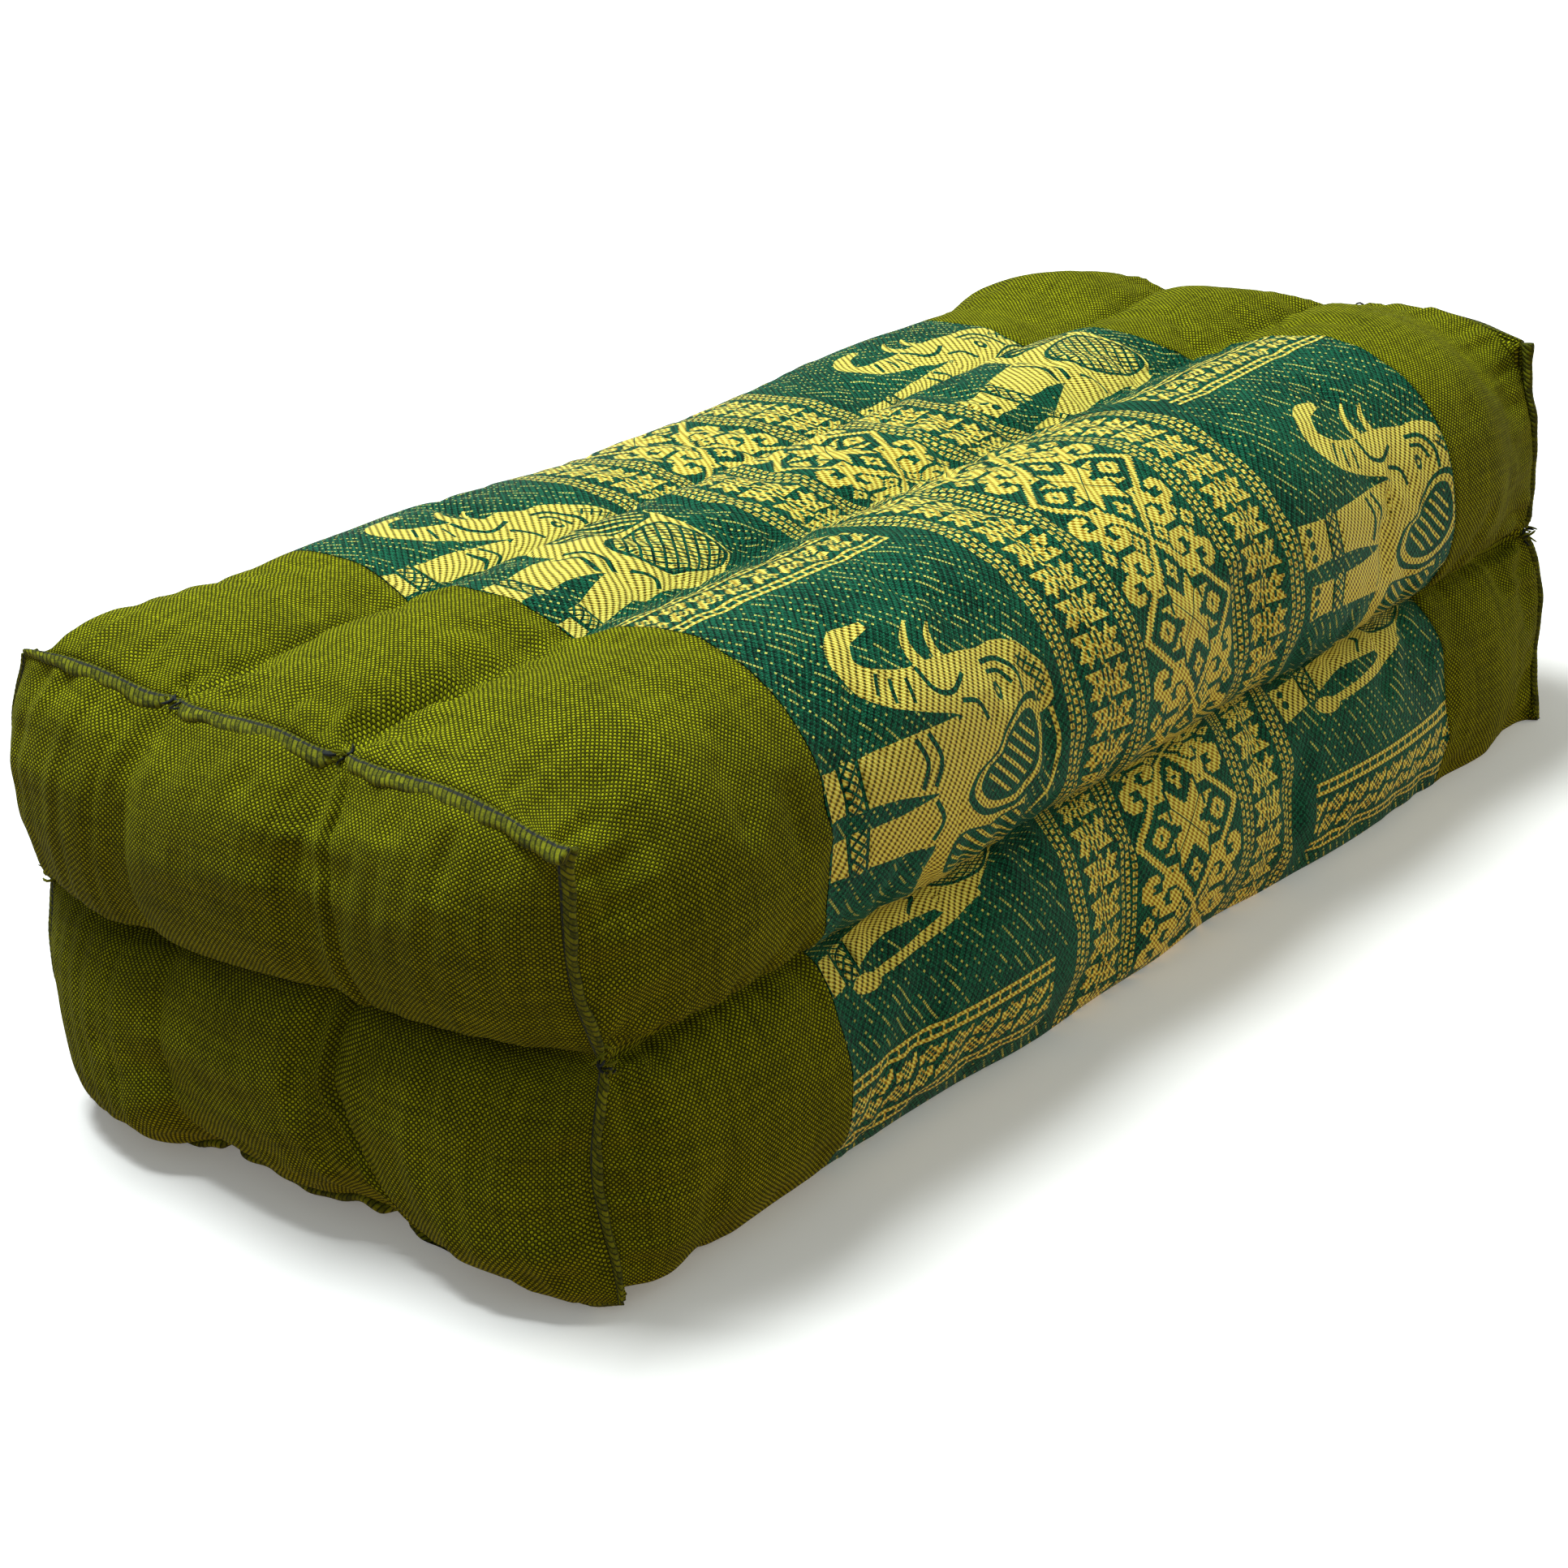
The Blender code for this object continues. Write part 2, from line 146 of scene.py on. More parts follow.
def make_camera():
    data = bpy.data.cameras.new("camera")
    data.sensor_fit = "HORIZONTAL"
    data.sensor_width = SENSOR_WIDTH
    data.lens = FOCAL_PIXELS / PHOTO_PIXELS * SENSOR_WIDTH
    data.clip_start = 0.01
    data.clip_end = 50.0
    obj = linked("camera", data)
    right = Vector((0.6441, -0.7620, -0.0671)).normalized()
    ahead = Vector((0.6855, 0.6139, -0.3916)).normalized()
    up = right.cross(ahead).normalized()
    right = ahead.cross(up).normalized()
    place = Matrix((right, up, -ahead)).transposed().to_4x4()
    place.translation = Vector((-0.535, -0.4514, 0.326))
    obj.matrix_world = place
    bpy.context.scene.camera = obj


def area_light(name, place, target, size, power, colour):
    data = bpy.data.lights.new(name, "AREA")
    data.shape = "RECTANGLE"
    data.size, data.size_y = size
    data.energy = power
    data.color = colour
    obj = linked(name, data)
    obj.location = place
    obj.rotation_euler = (Vector(target) - Vector(place)).to_track_quat("-Z", "Y").to_euler()


def feed(tree, socket, value):
    if isinstance(value, bpy.types.NodeSocket):
        tree.links.new(value, socket)
    elif value is not None:
        socket.default_value = value


def add_node(tree, kind, inputs=(), **settings):
    """New node with its settings, and values or sockets fed to inputs given by name or number."""
    found = tree.nodes.new("ShaderNode" + kind)
    for key, value in settings.items():
        setattr(found, key, value)
    for key, value in inputs:
        feed(tree, found.inputs[key], value)
    return found


WHITE, WARM_BELOW, COOL_ABOVE = (1.0, 1.0, 1.0, 1.0), (1.15, 0.66, 0.20, 1.0), (0.93, 1.0, 0.92, 1.0)
PALE_FLOOR, FLOOR_REACH = (0.87, 0.88, 0.93, 1.0), 6.0


def make_surroundings():
    """Warm light from below and cool light from above, white where the camera looks past the floor."""
    world = bpy.data.worlds.new("studio")
    bpy.context.scene.world = world
    world.use_nodes = True
    tree = world.node_tree
    background = tree.nodes["Background"]
    parts = add_node(tree, "SeparateXYZ", [(0, add_node(tree, "TexCoord").outputs["Generated"])])
    height = add_node(tree, "MapRange", [("Value", parts.outputs[2]), ("From Min", -0.5), ("From Max", 0.5)])
    ends = [("Factor", height.outputs[0]), ("A", WARM_BELOW), ("B", COOL_ABOVE)]
    colours = add_node(tree, "Mix", ends, data_type="RGBA")
    feed(tree, background.inputs["Strength"], AMBIENT)
    feed(tree, background.inputs["Color"], colours.outputs["Result"])
    seen = add_node(tree, "Background", [("Color", WHITE)])
    path = add_node(tree, "LightPath")
    shown = [(0, path.outputs["Is Camera Ray"]), (1, background.outputs[0]), (2, seen.outputs[0])]
    feed(tree, tree.nodes["World Output"].inputs[0], add_node(tree, "MixShader", shown).outputs[0])


def make_floor():
    """Pale floor that grows white away from the cushion."""
    mesh = bpy.data.meshes.new("floor")
    far = FLOOR_REACH
    mesh.from_pydata([(-far, -far, 0), (far, -far, 0), (far, far, 0), (-far, far, 0)], [], [(0, 1, 2, 3)])
    floor = linked("floor", mesh)
    floor.visible_diffuse = False
    paper = bpy.data.materials.new("pale_floor")
    paper.use_nodes = True
    tree = paper.node_tree
    place = add_node(tree, "TexCoord").outputs["Object"]
    distance = add_node(tree, "VectorMath", [(0, place)], operation="LENGTH").outputs["Value"]
    growth = [("Value", distance), ("From Min", 0.25), ("From Max", 0.80), ("To Min", 0.15), ("To Max", 0.90)]
    glow = add_node(tree, "MapRange", growth, interpolation_type="SMOOTHSTEP").outputs[0]
    for key, value in (
        ("Base Color", PALE_FLOOR), ("Roughness", 1.0), ("Specular IOR Level", 0.0),
        ("Emission Color", WHITE), ("Emission Strength", glow),
    ):
        feed(tree, tree.nodes["Principled BSDF"].inputs[key], value)
    mesh.materials.append(paper)


def make_stage():
    make_surroundings()
    make_floor()
    area_light("key_light", (-0.12, 0.32, 1.36), (0, 0, 0.05), (0.45, 0.45), 21.5, (0.97, 1.0, 0.94))
    area_light("fill_light", (0.95, -0.85, 0.45), (0.10, 0, 0.05), (0.7, 0.5), 3.2, (1.0, 0.86, 0.50))
    bpy.context.scene.view_settings.view_transform = "Standard"
    bpy.context.scene.cycles.denoising_prefilter = "NONE"


# Skin of the cushion

def ease(value):
    value = np.clip(value, 0, 1)
    return value * value * (3 - 2 * value)


def mix(a, b, share):
    return a + (b - a) * share


def bump(value, centre, width):
    return np.exp(-(((value - centre) / width) ** 2))


def rise(inset):
    reach = np.clip(inset / RISE_LENGTH, 0, 1)
    return mix(ease(reach), np.sqrt(np.maximum(1 - (1 - reach) ** 2, 0)), RISE_ROUND)


def rounded_side(offset, half_across, half_along):
    ratio = np.minimum(np.abs(offset) / half_across, 0.9999)
    return half_along * (1 - ratio ** ROUNDNESS) ** (1 / ROUNDNESS)


def kind_of(chamber):
    upper = (chamber >= 1) & (chamber <= 3)
    middle = (chamber == 2) | (chamber == 5)
    side = np.where(chamber <= 1, -1.0, 1.0)
    return upper, middle, side


def from_side_of(chamber, share):
    return np.where((chamber == 1) | (chamber == 4), share, 1 - share)


def full_section(chamber, share):
    upper, middle, side = kind_of(chamber)
    centre_z = np.where(upper, UPPER_CENTRE_Z, LOWER_CENTRE_Z)
    half_z = np.where(upper, UPPER_HALF_HEIGHT, LOWER_HALF_HEIGHT)
    channel_out = CORNER_CENTRE_Y - TOP_CHANNEL_Y
    channel_up = rounded_side(channel_out, CORNER_HALF_WIDTH, half_z)
    across = np.where(upper, 2 * share - 1, 1 - 2 * share)
    crown = np.where(upper, MIDDLE_CROWN, BOTTOM_CROWN)
    middle_up = channel_up + crown * (1 - np.abs(across) ** 2.2)
    side_down = np.abs(centre_z - SIDE_CHANNEL_Z)
    side_out = rounded_side(side_down, half_z, CORNER_HALF_WIDTH)
    start = np.arctan2(-side_down, side_out)
    end = np.arctan2(channel_up, -channel_out)
    angle = mix(start, end, from_side_of(chamber, share))
    reach = (np.abs(np.cos(angle)) / CORNER_HALF_WIDTH) ** ROUNDNESS
    reach = (reach + (np.abs(np.sin(angle)) / half_z) ** ROUNDNESS) ** (-1 / ROUNDNESS)
    y = np.where(middle, across * TOP_CHANNEL_Y, side * (CORNER_CENTRE_Y + reach * np.cos(angle)))
    up = np.where(middle, middle_up, reach * np.sin(angle))
    return y, centre_z + np.where(upper, up, -up)


def soft_ramp(value, softness):
    return 0.5 * (value + 1 + np.sqrt(value * value + softness ** 2) - np.sqrt(1 + softness ** 2))


def seam_section(chamber, share, softness):
    upper, middle, side = kind_of(chamber)
    sign = np.where(upper, 1.0, -1.0)
    flat_z = np.where(upper, HEIGHT, BOTTOM_SEAM_Z)
    bow = SEAM_BOW * np.sin(np.pi * share) ** 2
    across = np.where(upper, 2 * share - 1, 1 - 2 * share)
    corner_z = np.where(upper, flat_z - TOP_CORNER_DROP, flat_z + BOTTOM_CORNER_RISE)
    from_side = from_side_of(chamber, share)
    to_side = soft_ramp(1 - 2 * from_side, softness)
    to_channel = soft_ramp(2 * from_side - 1, softness)
    corner_y = side * WIDTH / 2
    y = corner_y + (side * CHANNEL_AT_SEAM - corner_y) * to_channel
    z = corner_z + (HEIGHT / 2 - corner_z) * to_side + (flat_z - corner_z) * to_channel
    half_bow = SEAM_BOW * np.sin(2 * np.pi * from_side) ** 2
    y = y + np.where(from_side < 0.5, side * half_bow, 0)
    z = z + np.where(from_side < 0.5, 0, sign * half_bow)
    return np.where(middle, across * CHANNEL_AT_SEAM, y), np.where(middle, flat_z + sign * bow, z)


def seam_pull(chamber, share):
    middle = kind_of(chamber)[1]
    from_side = from_side_of(chamber, share)
    corner = SIDE_CHANNEL_PULL * np.maximum(1 - 3 * from_side, 0) ** 2
    corner = corner + TOP_CHANNEL_PULL * from_side ** 12
    return np.where(middle, TOP_CHANNEL_PULL * np.abs(2 * share - 1) ** 6, corner)


def girth_point(chamber, share, x):
    near, far = x + HALF, HALF - x
    inset = np.minimum(near, far)
    end = np.where(near < far, -1.0, 1.0)
    upper = kind_of(chamber)[0]
    grown = rise(inset)
    phase = 2 * np.pi * x / SWELL_PITCH + np.where(upper, UPPER_PHASE, 0)
    swell = 1 + SWELL / CORNER_HALF_WIDTH * np.sin(phase) * grown
    full_y, full_z = full_section(chamber, share)
    seam_y, seam_z = seam_section(chamber, share, 0.01 + 0.9 * grown)
    y = mix(seam_y, full_y * swell, grown)
    off_channel = np.abs(np.abs(full_y) - TOP_CHANNEL_Y) / GROOVE_HALF_WIDTH
    groove = GROOVE_DEPTH * np.maximum(1 - off_channel, 0) ** 2
    full_z = np.where(upper, full_z, np.maximum(full_z, 0) + groove)
    z = mix(seam_z, full_z, grown)
    x = x - end * seam_pull(chamber, share) * (1 - ease(inset / RISE_LENGTH))
    return np.stack([x + 0 * y, y, np.maximum(z, 0)], -1)


# Cloth coordinates: distance round the girth in millimetres and x

def arc_tables():
    share = np.linspace(0, 1, 801)
    lengths = []
    for chamber in range(6):
        y, z = full_section(np.full(801, chamber), share)
        z = np.maximum(z, 0) if chamber in (0, 4, 5) else z
        steps = np.hypot(np.diff(y), np.diff(z)) * 1000
        lengths.append(np.concatenate([[0], np.cumsum(steps)]))
    starts = np.concatenate([[0], np.cumsum([table[-1] for table in lengths])])
    return share, lengths, starts


SHARES, ARCS, ARC_STARTS = arc_tables()
GIRTH = ARC_STARTS[-1]


def chamber_share(around):
    around = np.mod(around, GIRTH)
    chamber = np.clip(np.searchsorted(ARC_STARTS, around, side="right") - 1, 0, 5)
    share = np.zeros_like(around)
    for index in range(6):
        here = chamber == index
        share[here] = np.interp(around[here] - ARC_STARTS[index], ARCS[index], SHARES)
    return chamber, share


def around_at(chamber, share):
    return ARC_STARTS[chamber] + np.interp(share, SHARES, ARCS[chamber])


# How the woven cloth lies on the skin: place round the girth, woven place, and then the extra in the middle,
# the shift, the lean and the scale there
LAY = np.array([
    (-22.0, -62.0, 0.0, 0.0, 0.0, 1.000),
    (-4.0, -44.0, 0.0, 0.0, 0.0, 1.000),
    (4.0, -20.6, 0.0, 0.0, 0.0, 1.000),
    (60.0, 35.4, 0.0, -0.5, 2.5, 1.000),
    (80.0, 55.4, 0.2, -1.0, 3.0, 1.000),
    (104.0, 79.4, 0.3, -1.0, 3.0, 1.000),
    (108.0, 84.5, 0.4, -0.6, 4.0, 1.000),
    (114.0, 112.5, 0.5, 0.0, 5.5, 1.000),
    (118.0, 118.0, 0.6, 0.0, 5.5, 1.000),
    (144.0, 144.0, 0.5, 0.0, 3.6, 1.000),
    (183.0, 183.0, 0.0, 0.0, 0.0, 1.000),
    (200.0, 200.0, 0.6, 0.0, -1.0, 1.000),
    (210.0, 210.0, 1.5, -0.5, -3.0, 1.000),
    (217.0, 220.0, 3.0, -4.0, -2.0, 0.970),
    (226.0, 238.0, 5.7, -10.0, -1.0, 0.930),
    (243.0, 255.0, 5.8, -14.5, -2.0, 0.925),
    (262.0, 275.0, 5.9, -13.0, -1.0, 0.930),
    (268.0, 286.0, 5.9, -12.0, 0.0, 0.930),
    (274.0, 299.4, 5.9, -11.8, 0.0, 0.930),
    (298.0, 323.6, 5.5, -11.5, -2.0, 0.930),
    (330.0, 355.6, 3.0, -8.0, 0.0, 0.950),
    (376.0, 402.0, 0.0, -2.0, 0.0, 0.990),
    (386.0, 432.0, 0.0, 0.0, 0.0, 1.000),
    (486.0, 532.0, 0.0, 0.0, 0.0, 1.000),
    (496.0, 558.0, 0.0, 0.0, 0.0, 1.000),
    (514.1, 576.0, 0.0, 0.0, 0.0, 1.000),
])
LAY_STEP, LEAN_REACH = 0.5, 117
LAY_AROUND = np.arange(LAY[0, 0], LAY[-1, 0] + LAY_STEP / 2, LAY_STEP)


def lay_table():
    """The rows above as even steps round the girth, smoothed."""
    window = np.hanning(17)[1:-1]
    window /= window.sum()
    found = []
    for column in range(1, 6):
        line = np.interp(LAY_AROUND, LAY[:, 0], LAY[:, column])
        reach = len(window) // 2
        first = line[0] - (line[1:reach + 1] - line[0])[::-1]
        last = line[-1] - (line[-reach - 1:-1] - line[-1])[::-1]
        found.append(np.convolve(np.concatenate([first, line, last]), window, "valid"))
    return found


LAY_WOVEN, LAY_MIDDLE, LAY_SHIFT, LAY_LEAN, LAY_SCALE = lay_table()


def middle_share(across):
    """1 in the middle band, 0 at the two borders."""
    away = np.abs(across - BAND_CENTRE)
    return 1 - ease((away - 44) / 66)


def laid_x(around, across):
    """x, in millimetres, of cloth woven at across, at places round the girth."""
    scale, shift, lean = (np.interp(around, LAY_AROUND, table) for table in (LAY_SCALE, LAY_SHIFT, LAY_LEAN))
    return across * scale + shift + lean * (1 - ((across - BAND_CENTRE) / LEAN_REACH) ** 2)


def on_skin(woven, across):
    """Place round the girth and x, in millimetres, of woven coordinates."""
    across = np.asarray(across, float)
    share = middle_share(across)
    around = np.interp(woven, LAY_WOVEN, LAY_AROUND)
    for _ in range(3):
        around = np.interp(woven - share * np.interp(around, LAY_AROUND, LAY_MIDDLE), LAY_WOVEN, LAY_AROUND)
    return around, laid_x(around, across)


def border_at(around, border):
    """x of a border of the patterned panel, in metres, at places round the girth."""
    around = LAY_AROUND[0] + np.mod(np.asarray(around, float) - LAY_AROUND[0], GIRTH)
    return laid_x(around, border * 1000) / 1000


class Moves:
    """How far the simulated cloth moved from the drawn skin, to add to any point of it."""

    girth = None
    ends = {}


def cubic_weights(t):
    return (
        -0.5 * t + t * t - 0.5 * t ** 3,
        1 - 2.5 * t * t + 1.5 * t ** 3,
        0.5 * t + 2 * t * t - 1.5 * t ** 3,
        -0.5 * t * t + 0.5 * t ** 3,
    )


def sample_grid(values, row, column, wrap):
    """Cubic reading of a grid at fractional rows, which wrap round, and columns."""
    rows, columns = values.shape[:2]
    r, c = np.floor(row).astype(int), np.floor(column).astype(int)
    wr, wc = cubic_weights(row - r), cubic_weights(column - c)
    total = 0.0
    for i in range(4):
        ri = (r + i - 1) % rows if wrap else np.clip(r + i - 1, 0, rows - 1)
        for j in range(4):
            ci = np.clip(c + j - 1, 0, columns - 1)
            total = total + values[ri, ci] * (wr[i] * wc[j])[..., None]
    return total


def skin(around, x):
    """Points of the finished skin between the two seams."""
    around, x = np.broadcast_arrays(np.asarray(around, float), np.asarray(x, float))
    chamber, share = chamber_share(around)
    points = girth_point(chamber, share, x)
    if Moves.girth is not None:
        rows, columns, moves = Moves.girth
        row = np.interp(np.mod(around, GIRTH), np.append(rows, GIRTH), np.arange(len(rows) + 1))
        column = np.interp(x, columns, np.arange(len(columns)))
        points = points + sample_grid(moves, row, column, True)
    points = points + girth_details(around, x, points)
    points[..., 2] = np.maximum(points[..., 2], 0)
    return points


# Local pushes of the skin, in millimetres: place round the girth and its reach, x and its reach, and the
# move along x, y and z
PUSHES = [
    (326.0, 34.0, -168.0, 18.0, -1.0, 0.6, 9.4),
    (318.0, 30.0, -160.0, 15.0, 0.0, 0.0, 1.6),
    (325.0, 10.0, -178.0, 12.0, 0.0, -3.0, 0.0),
    (312.0, 30.0, -116.0, 28.0, 0.0, 0.0, 0.6),
    (380.0, 50.0, -176.0, 30.0, -1.5, 5.4, 0.0),
    (378.0, 15.0, -178.0, 13.0, 0.0, 3.4, 0.0),
    (371.0, 13.0, -172.0, 22.0, 0.0, 2.4, 0.0),
    (396.0, 13.0, -172.0, 26.0, 0.0, 1.9, 0.0),
    (426.0, 16.0, -172.0, 26.0, 0.0, -2.0, 0.0),
    (430.0, 26.0, -176.0, 18.0, 0.0, 2.5, -3.6),
    (462.0, 26.0, -176.0, 14.0, -1.0, 0.0, -3.6),
    (305.0, 36.0, -2.0, 66.0, 0.0, 0.0, -5.6),
    (305.0, 36.0, 60.0, 40.0, 0.0, 0.0, -2.4),
    (34.0, 32.0, 140.0, 60.0, 0.0, -5.4, -4.0),
    (38.0, 26.0, 64.0, 24.0, 0.0, -2.4, -1.0),
    (40.0, 26.0, 22.0, 18.0, 0.0, 3.4, 1.0),
    (40.0, 30.0, 10.0, 90.0, 0.0, -1.8, -0.5),
    (40.0, 26.0, -66.0, 20.0, 0.0, 2.2, 0.6),
    (40.0, 26.0, -118.0, 28.0, 0.0, 3.6, 0.9),
    (46.0, 32.0, -165.0, 13.0, 0.0, -8.0, -3.5),
    (34.0, 26.0, 170.0, 16.0, 0.0, -9.0, -7.4),
    (42.0, 24.0, 178.0, 13.0, -4.5, -1.2, -1.5),
    (18.0, 26.0, -176.0, 11.0, 0.0, 0.0, -5.0),
    (342.0, 15.0, -172.0, 22.0, 0.0, 1.0, 0.0),
    (502.0, 10.0, -175.0, 12.0, 0.0, 0.0, -0.2),
    (529.0, 11.0, -175.0, 12.0, 0.0, 0.0, 2.4),
    (138.0, 20.0, -178.0, 12.0, 0.0, 4.2, 0.0),
    (82.0, 18.0, -178.0, 12.0, 0.0, 4.6, 0.0),
    (222.0, 17.0, -175.0, 20.0, 0.0, 9.0, 0.6),
    (269.7, 17.0, -175.0, 20.0, 0.0, 3.0, 1.5),
    (0.0, 16.0, -175.0, 18.0, 0.0, 9.0, 0.0),
    (491.7, 16.0, -175.0, 18.0, 0.0, 4.0, 0.0),
    (290.0, 36.0, 118.0, 26.0, 0.0, 0.0, -3.4),
    (290.0, 26.0, 156.0, 16.0, 0.0, 0.0, 2.1),
    (300.0, 30.0, 126.0, 18.0, 0.0, 0.0, -1.2),
    (246.0, 20.0, 168.0, 16.0, 0.0, 0.0, -3.0),
    (222.0, 15.0, 160.0, 20.0, 0.0, 0.0, 2.9),
    (180.0, 30.0, 176.0, 13.0, 0.0, 0.0, 4.3),
    (150.0, 30.0, 176.0, 14.0, -0.4, 0.4, 0.0),
    (108.0, 26.0, 176.0, 14.0, 4.2, -1.6, 0.0),
    (94.0, 20.0, 176.0, 14.0, 1.0, -0.9, 0.0),
]


def turned_by(around, place):
    """Millimetres round the girth from a place, the short way."""
    return np.mod(around - place + GIRTH / 2, GIRTH) - GIRTH / 2


def seam_wrinkles(around, x):
    """Small ripples beside the seams and the sewn channels, in millimetres out of the skin."""
    along = x * 1000
    from_seam = HALF * 1000 - np.abs(along)
    away = np.min(np.abs(around[..., None] - ARC_STARTS), -1)
    fade = ease(away / 9)
    ripple = 0.42 * np.sin(2 * np.pi * around / 9.7 + 1.4 * np.sin(around / 15) + along / 21)
    ripple = ripple + 0.22 * np.sin(2 * np.pi * around / 5.3 + 1.1 * np.sin(around / 9 + 2))
    total = ripple * np.exp(-((from_seam - 5) / 11) ** 2) * (0.4 + 0.6 * fade) * ease(from_seam / 5)
    pucker = 0.38 * np.sin(2 * np.pi * along / 11.3 + 1.2 * np.sin(along / 19 + around / 60))
    pucker = pucker + 0.22 * np.sin(2 * np.pi * along / 6.1 + 1.5 * np.sin(along / 13 + around / 40))
    total = total + pucker * np.exp(-((away - 3.5) / 5) ** 2) * ease(from_seam / 14)
    depth = 0.6 + 2.4 * np.exp(-((from_seam - 14) / 26) ** 2)
    total = total - np.exp(-((away / 3.4) ** 2)) * ease(from_seam / 6) * depth
    for start in ARC_STARTS[:6]:
        turn = turned_by(around, start)
        reach = np.hypot(turn, from_seam)
        fold = np.sin(7 * np.arctan2(turn, from_seam + 0.5) + start + 0.12 * reach)
        total = total + 0.85 * fold * (reach / 8) * np.exp(1 - reach / 8) * ease(from_seam / 4)
    broad = 0.45 * np.sin(along / 19 + np.sin(around / 31)) * np.sin(around / 23 + 0.8 * np.sin(along / 37))
    return total + broad * ease(from_seam / 20) * fade


def girth_details(around, x, points):
    """Moves of the skin, in metres, that the plain section doesn't have."""
    moves = np.zeros_like(points)
    for place, reach, at, along, *move in PUSHES:
        away = turned_by(around, place)
        weight = np.exp(-((away / reach) ** 2) - ((x * 1000 - at) / along) ** 2)
        moves += weight[..., None] * np.array(move) / 1000
    chamber = chamber_share(around)[0]
    upper, middle, side = kind_of(chamber)
    y = np.where(middle, 0, points[..., 1] - side * CORNER_CENTRE_Y)
    z = points[..., 2] - np.where(upper, UPPER_CENTRE_Z, LOWER_CENTRE_Z)
    length = np.maximum(np.hypot(y, z), 1e-6)
    out = seam_wrinkles(np.mod(around, GIRTH), x) / 1000 * np.where(points[..., 2] < 0.001, 0.2, 1.0)
    moves[..., 1] += out * y / length
    moves[..., 2] += out * z / length
    return moves


def unit(vectors):
    return vectors / np.maximum(np.linalg.norm(vectors, axis=-1, keepdims=True), 1e-9)


def skin_normals(around, x):
    step = 0.4
    forward = skin(around + step, x) - skin(around - step, x)
    reach = 0.0004
    along = skin(around, np.clip(x + reach, -HALF, HALF)) - skin(around, np.clip(x - reach, -HALF, HALF))
    return unit(np.cross(along, forward))


# End panels, over a square of across and up from 0 to 1

def rim_place(edge, t):
    t = np.asarray(t, float)
    if edge in ("top", "bottom"):
        first, last = t < SIDE_SHARE, t > 1 - SIDE_SHARE
        near_part, far_part = t / SIDE_SHARE, (t - 1 + SIDE_SHARE) / SIDE_SHARE
        mid_part = (t - SIDE_SHARE) / (1 - 2 * SIDE_SHARE)
        if edge == "top":
            chamber = np.where(first, 1, np.where(last, 3, 2))
            share = np.where(first, 0.5 + 0.5 * near_part, np.where(last, 0.5 * far_part, mid_part))
        else:
            chamber = np.where(first, 0, np.where(last, 4, 5))
            share = np.where(first, 0.5 - 0.5 * near_part, np.where(last, 1 - 0.5 * far_part, 1 - mid_part))
        return chamber, np.clip(share, 0, 1)
    upper = t >= 0.5
    if edge == "front":
        return np.where(upper, 1, 0), np.where(upper, t - 0.5, 0.5 + t)
    return np.where(upper, 3, 4), np.where(upper, 1.5 - t, 0.5 - t)


def rim_point(end, edge, t):
    chamber, share = rim_place(edge, t)
    around = np.zeros_like(share)
    for index in range(6):
        here = chamber == index
        low, high = ARC_STARTS[index] + 1e-6, ARC_STARTS[index + 1] - 1e-6
        around[here] = np.clip(around_at(index, share[here]), low, high)
    return skin(around, np.full(np.shape(around), end * HALF))


# Pleats of the end panels: place across at heights up, from 0 to 1, for the crisp one and the soft one
CRISP_UPPER = [
    (0.50, 0.285), (0.54, 0.285), (0.62, 0.292), (0.70, 0.296), (0.80, 0.300), (0.90, 0.312), (1.00, 0.328),
]
CRISP_LOWER = [(0.00, 0.275), (0.10, 0.290), (0.20, 0.320), (0.30, 0.346), (0.40, 0.348), (0.50, 0.335)]
SOFT_UPPER = [(0.50, 0.680), (0.60, 0.690), (0.70, 0.685), (0.80, 0.668), (0.90, 0.662), (1.00, 0.660)]
SOFT_LOWER = [(0.00, 0.660), (0.20, 0.640), (0.50, 0.620)]


def pleat_profile(u):
    """Heights, in metres, of the crisp pleat's rounded ridge and crease, u millimetres right of its line."""
    return 0.0011 * np.exp(-((u / 1.1) ** 2)), -0.0010 * np.exp(-(((u - 1.6) / 0.60) ** 2))


def pleat_place(a, b, upper, lines):
    """Millimetres right of a pleat, given its upper and its lower line."""
    heights, places = zip(*lines[0])
    low_heights, low_places = zip(*lines[1])
    at = np.where(upper, np.interp(b, heights, places), np.interp(b, low_heights, low_places))
    return (at - a) * WIDTH * 1000


def pleat_length(a, b):
    """Extra cloth, in millimetres, that the crisp pleat takes up between a = 0 and a."""
    u = np.linspace(-8, 8, 641)
    slope = np.gradient(sum(pleat_profile(u)) * 1000, u)
    taken = np.concatenate([[0], np.cumsum((np.sqrt(1 + slope ** 2) - 1)[1:] * np.diff(u))])
    return taken[-1] - np.interp(pleat_place(a, b, b > 0.51, (CRISP_UPPER, CRISP_LOWER)), u, taken)


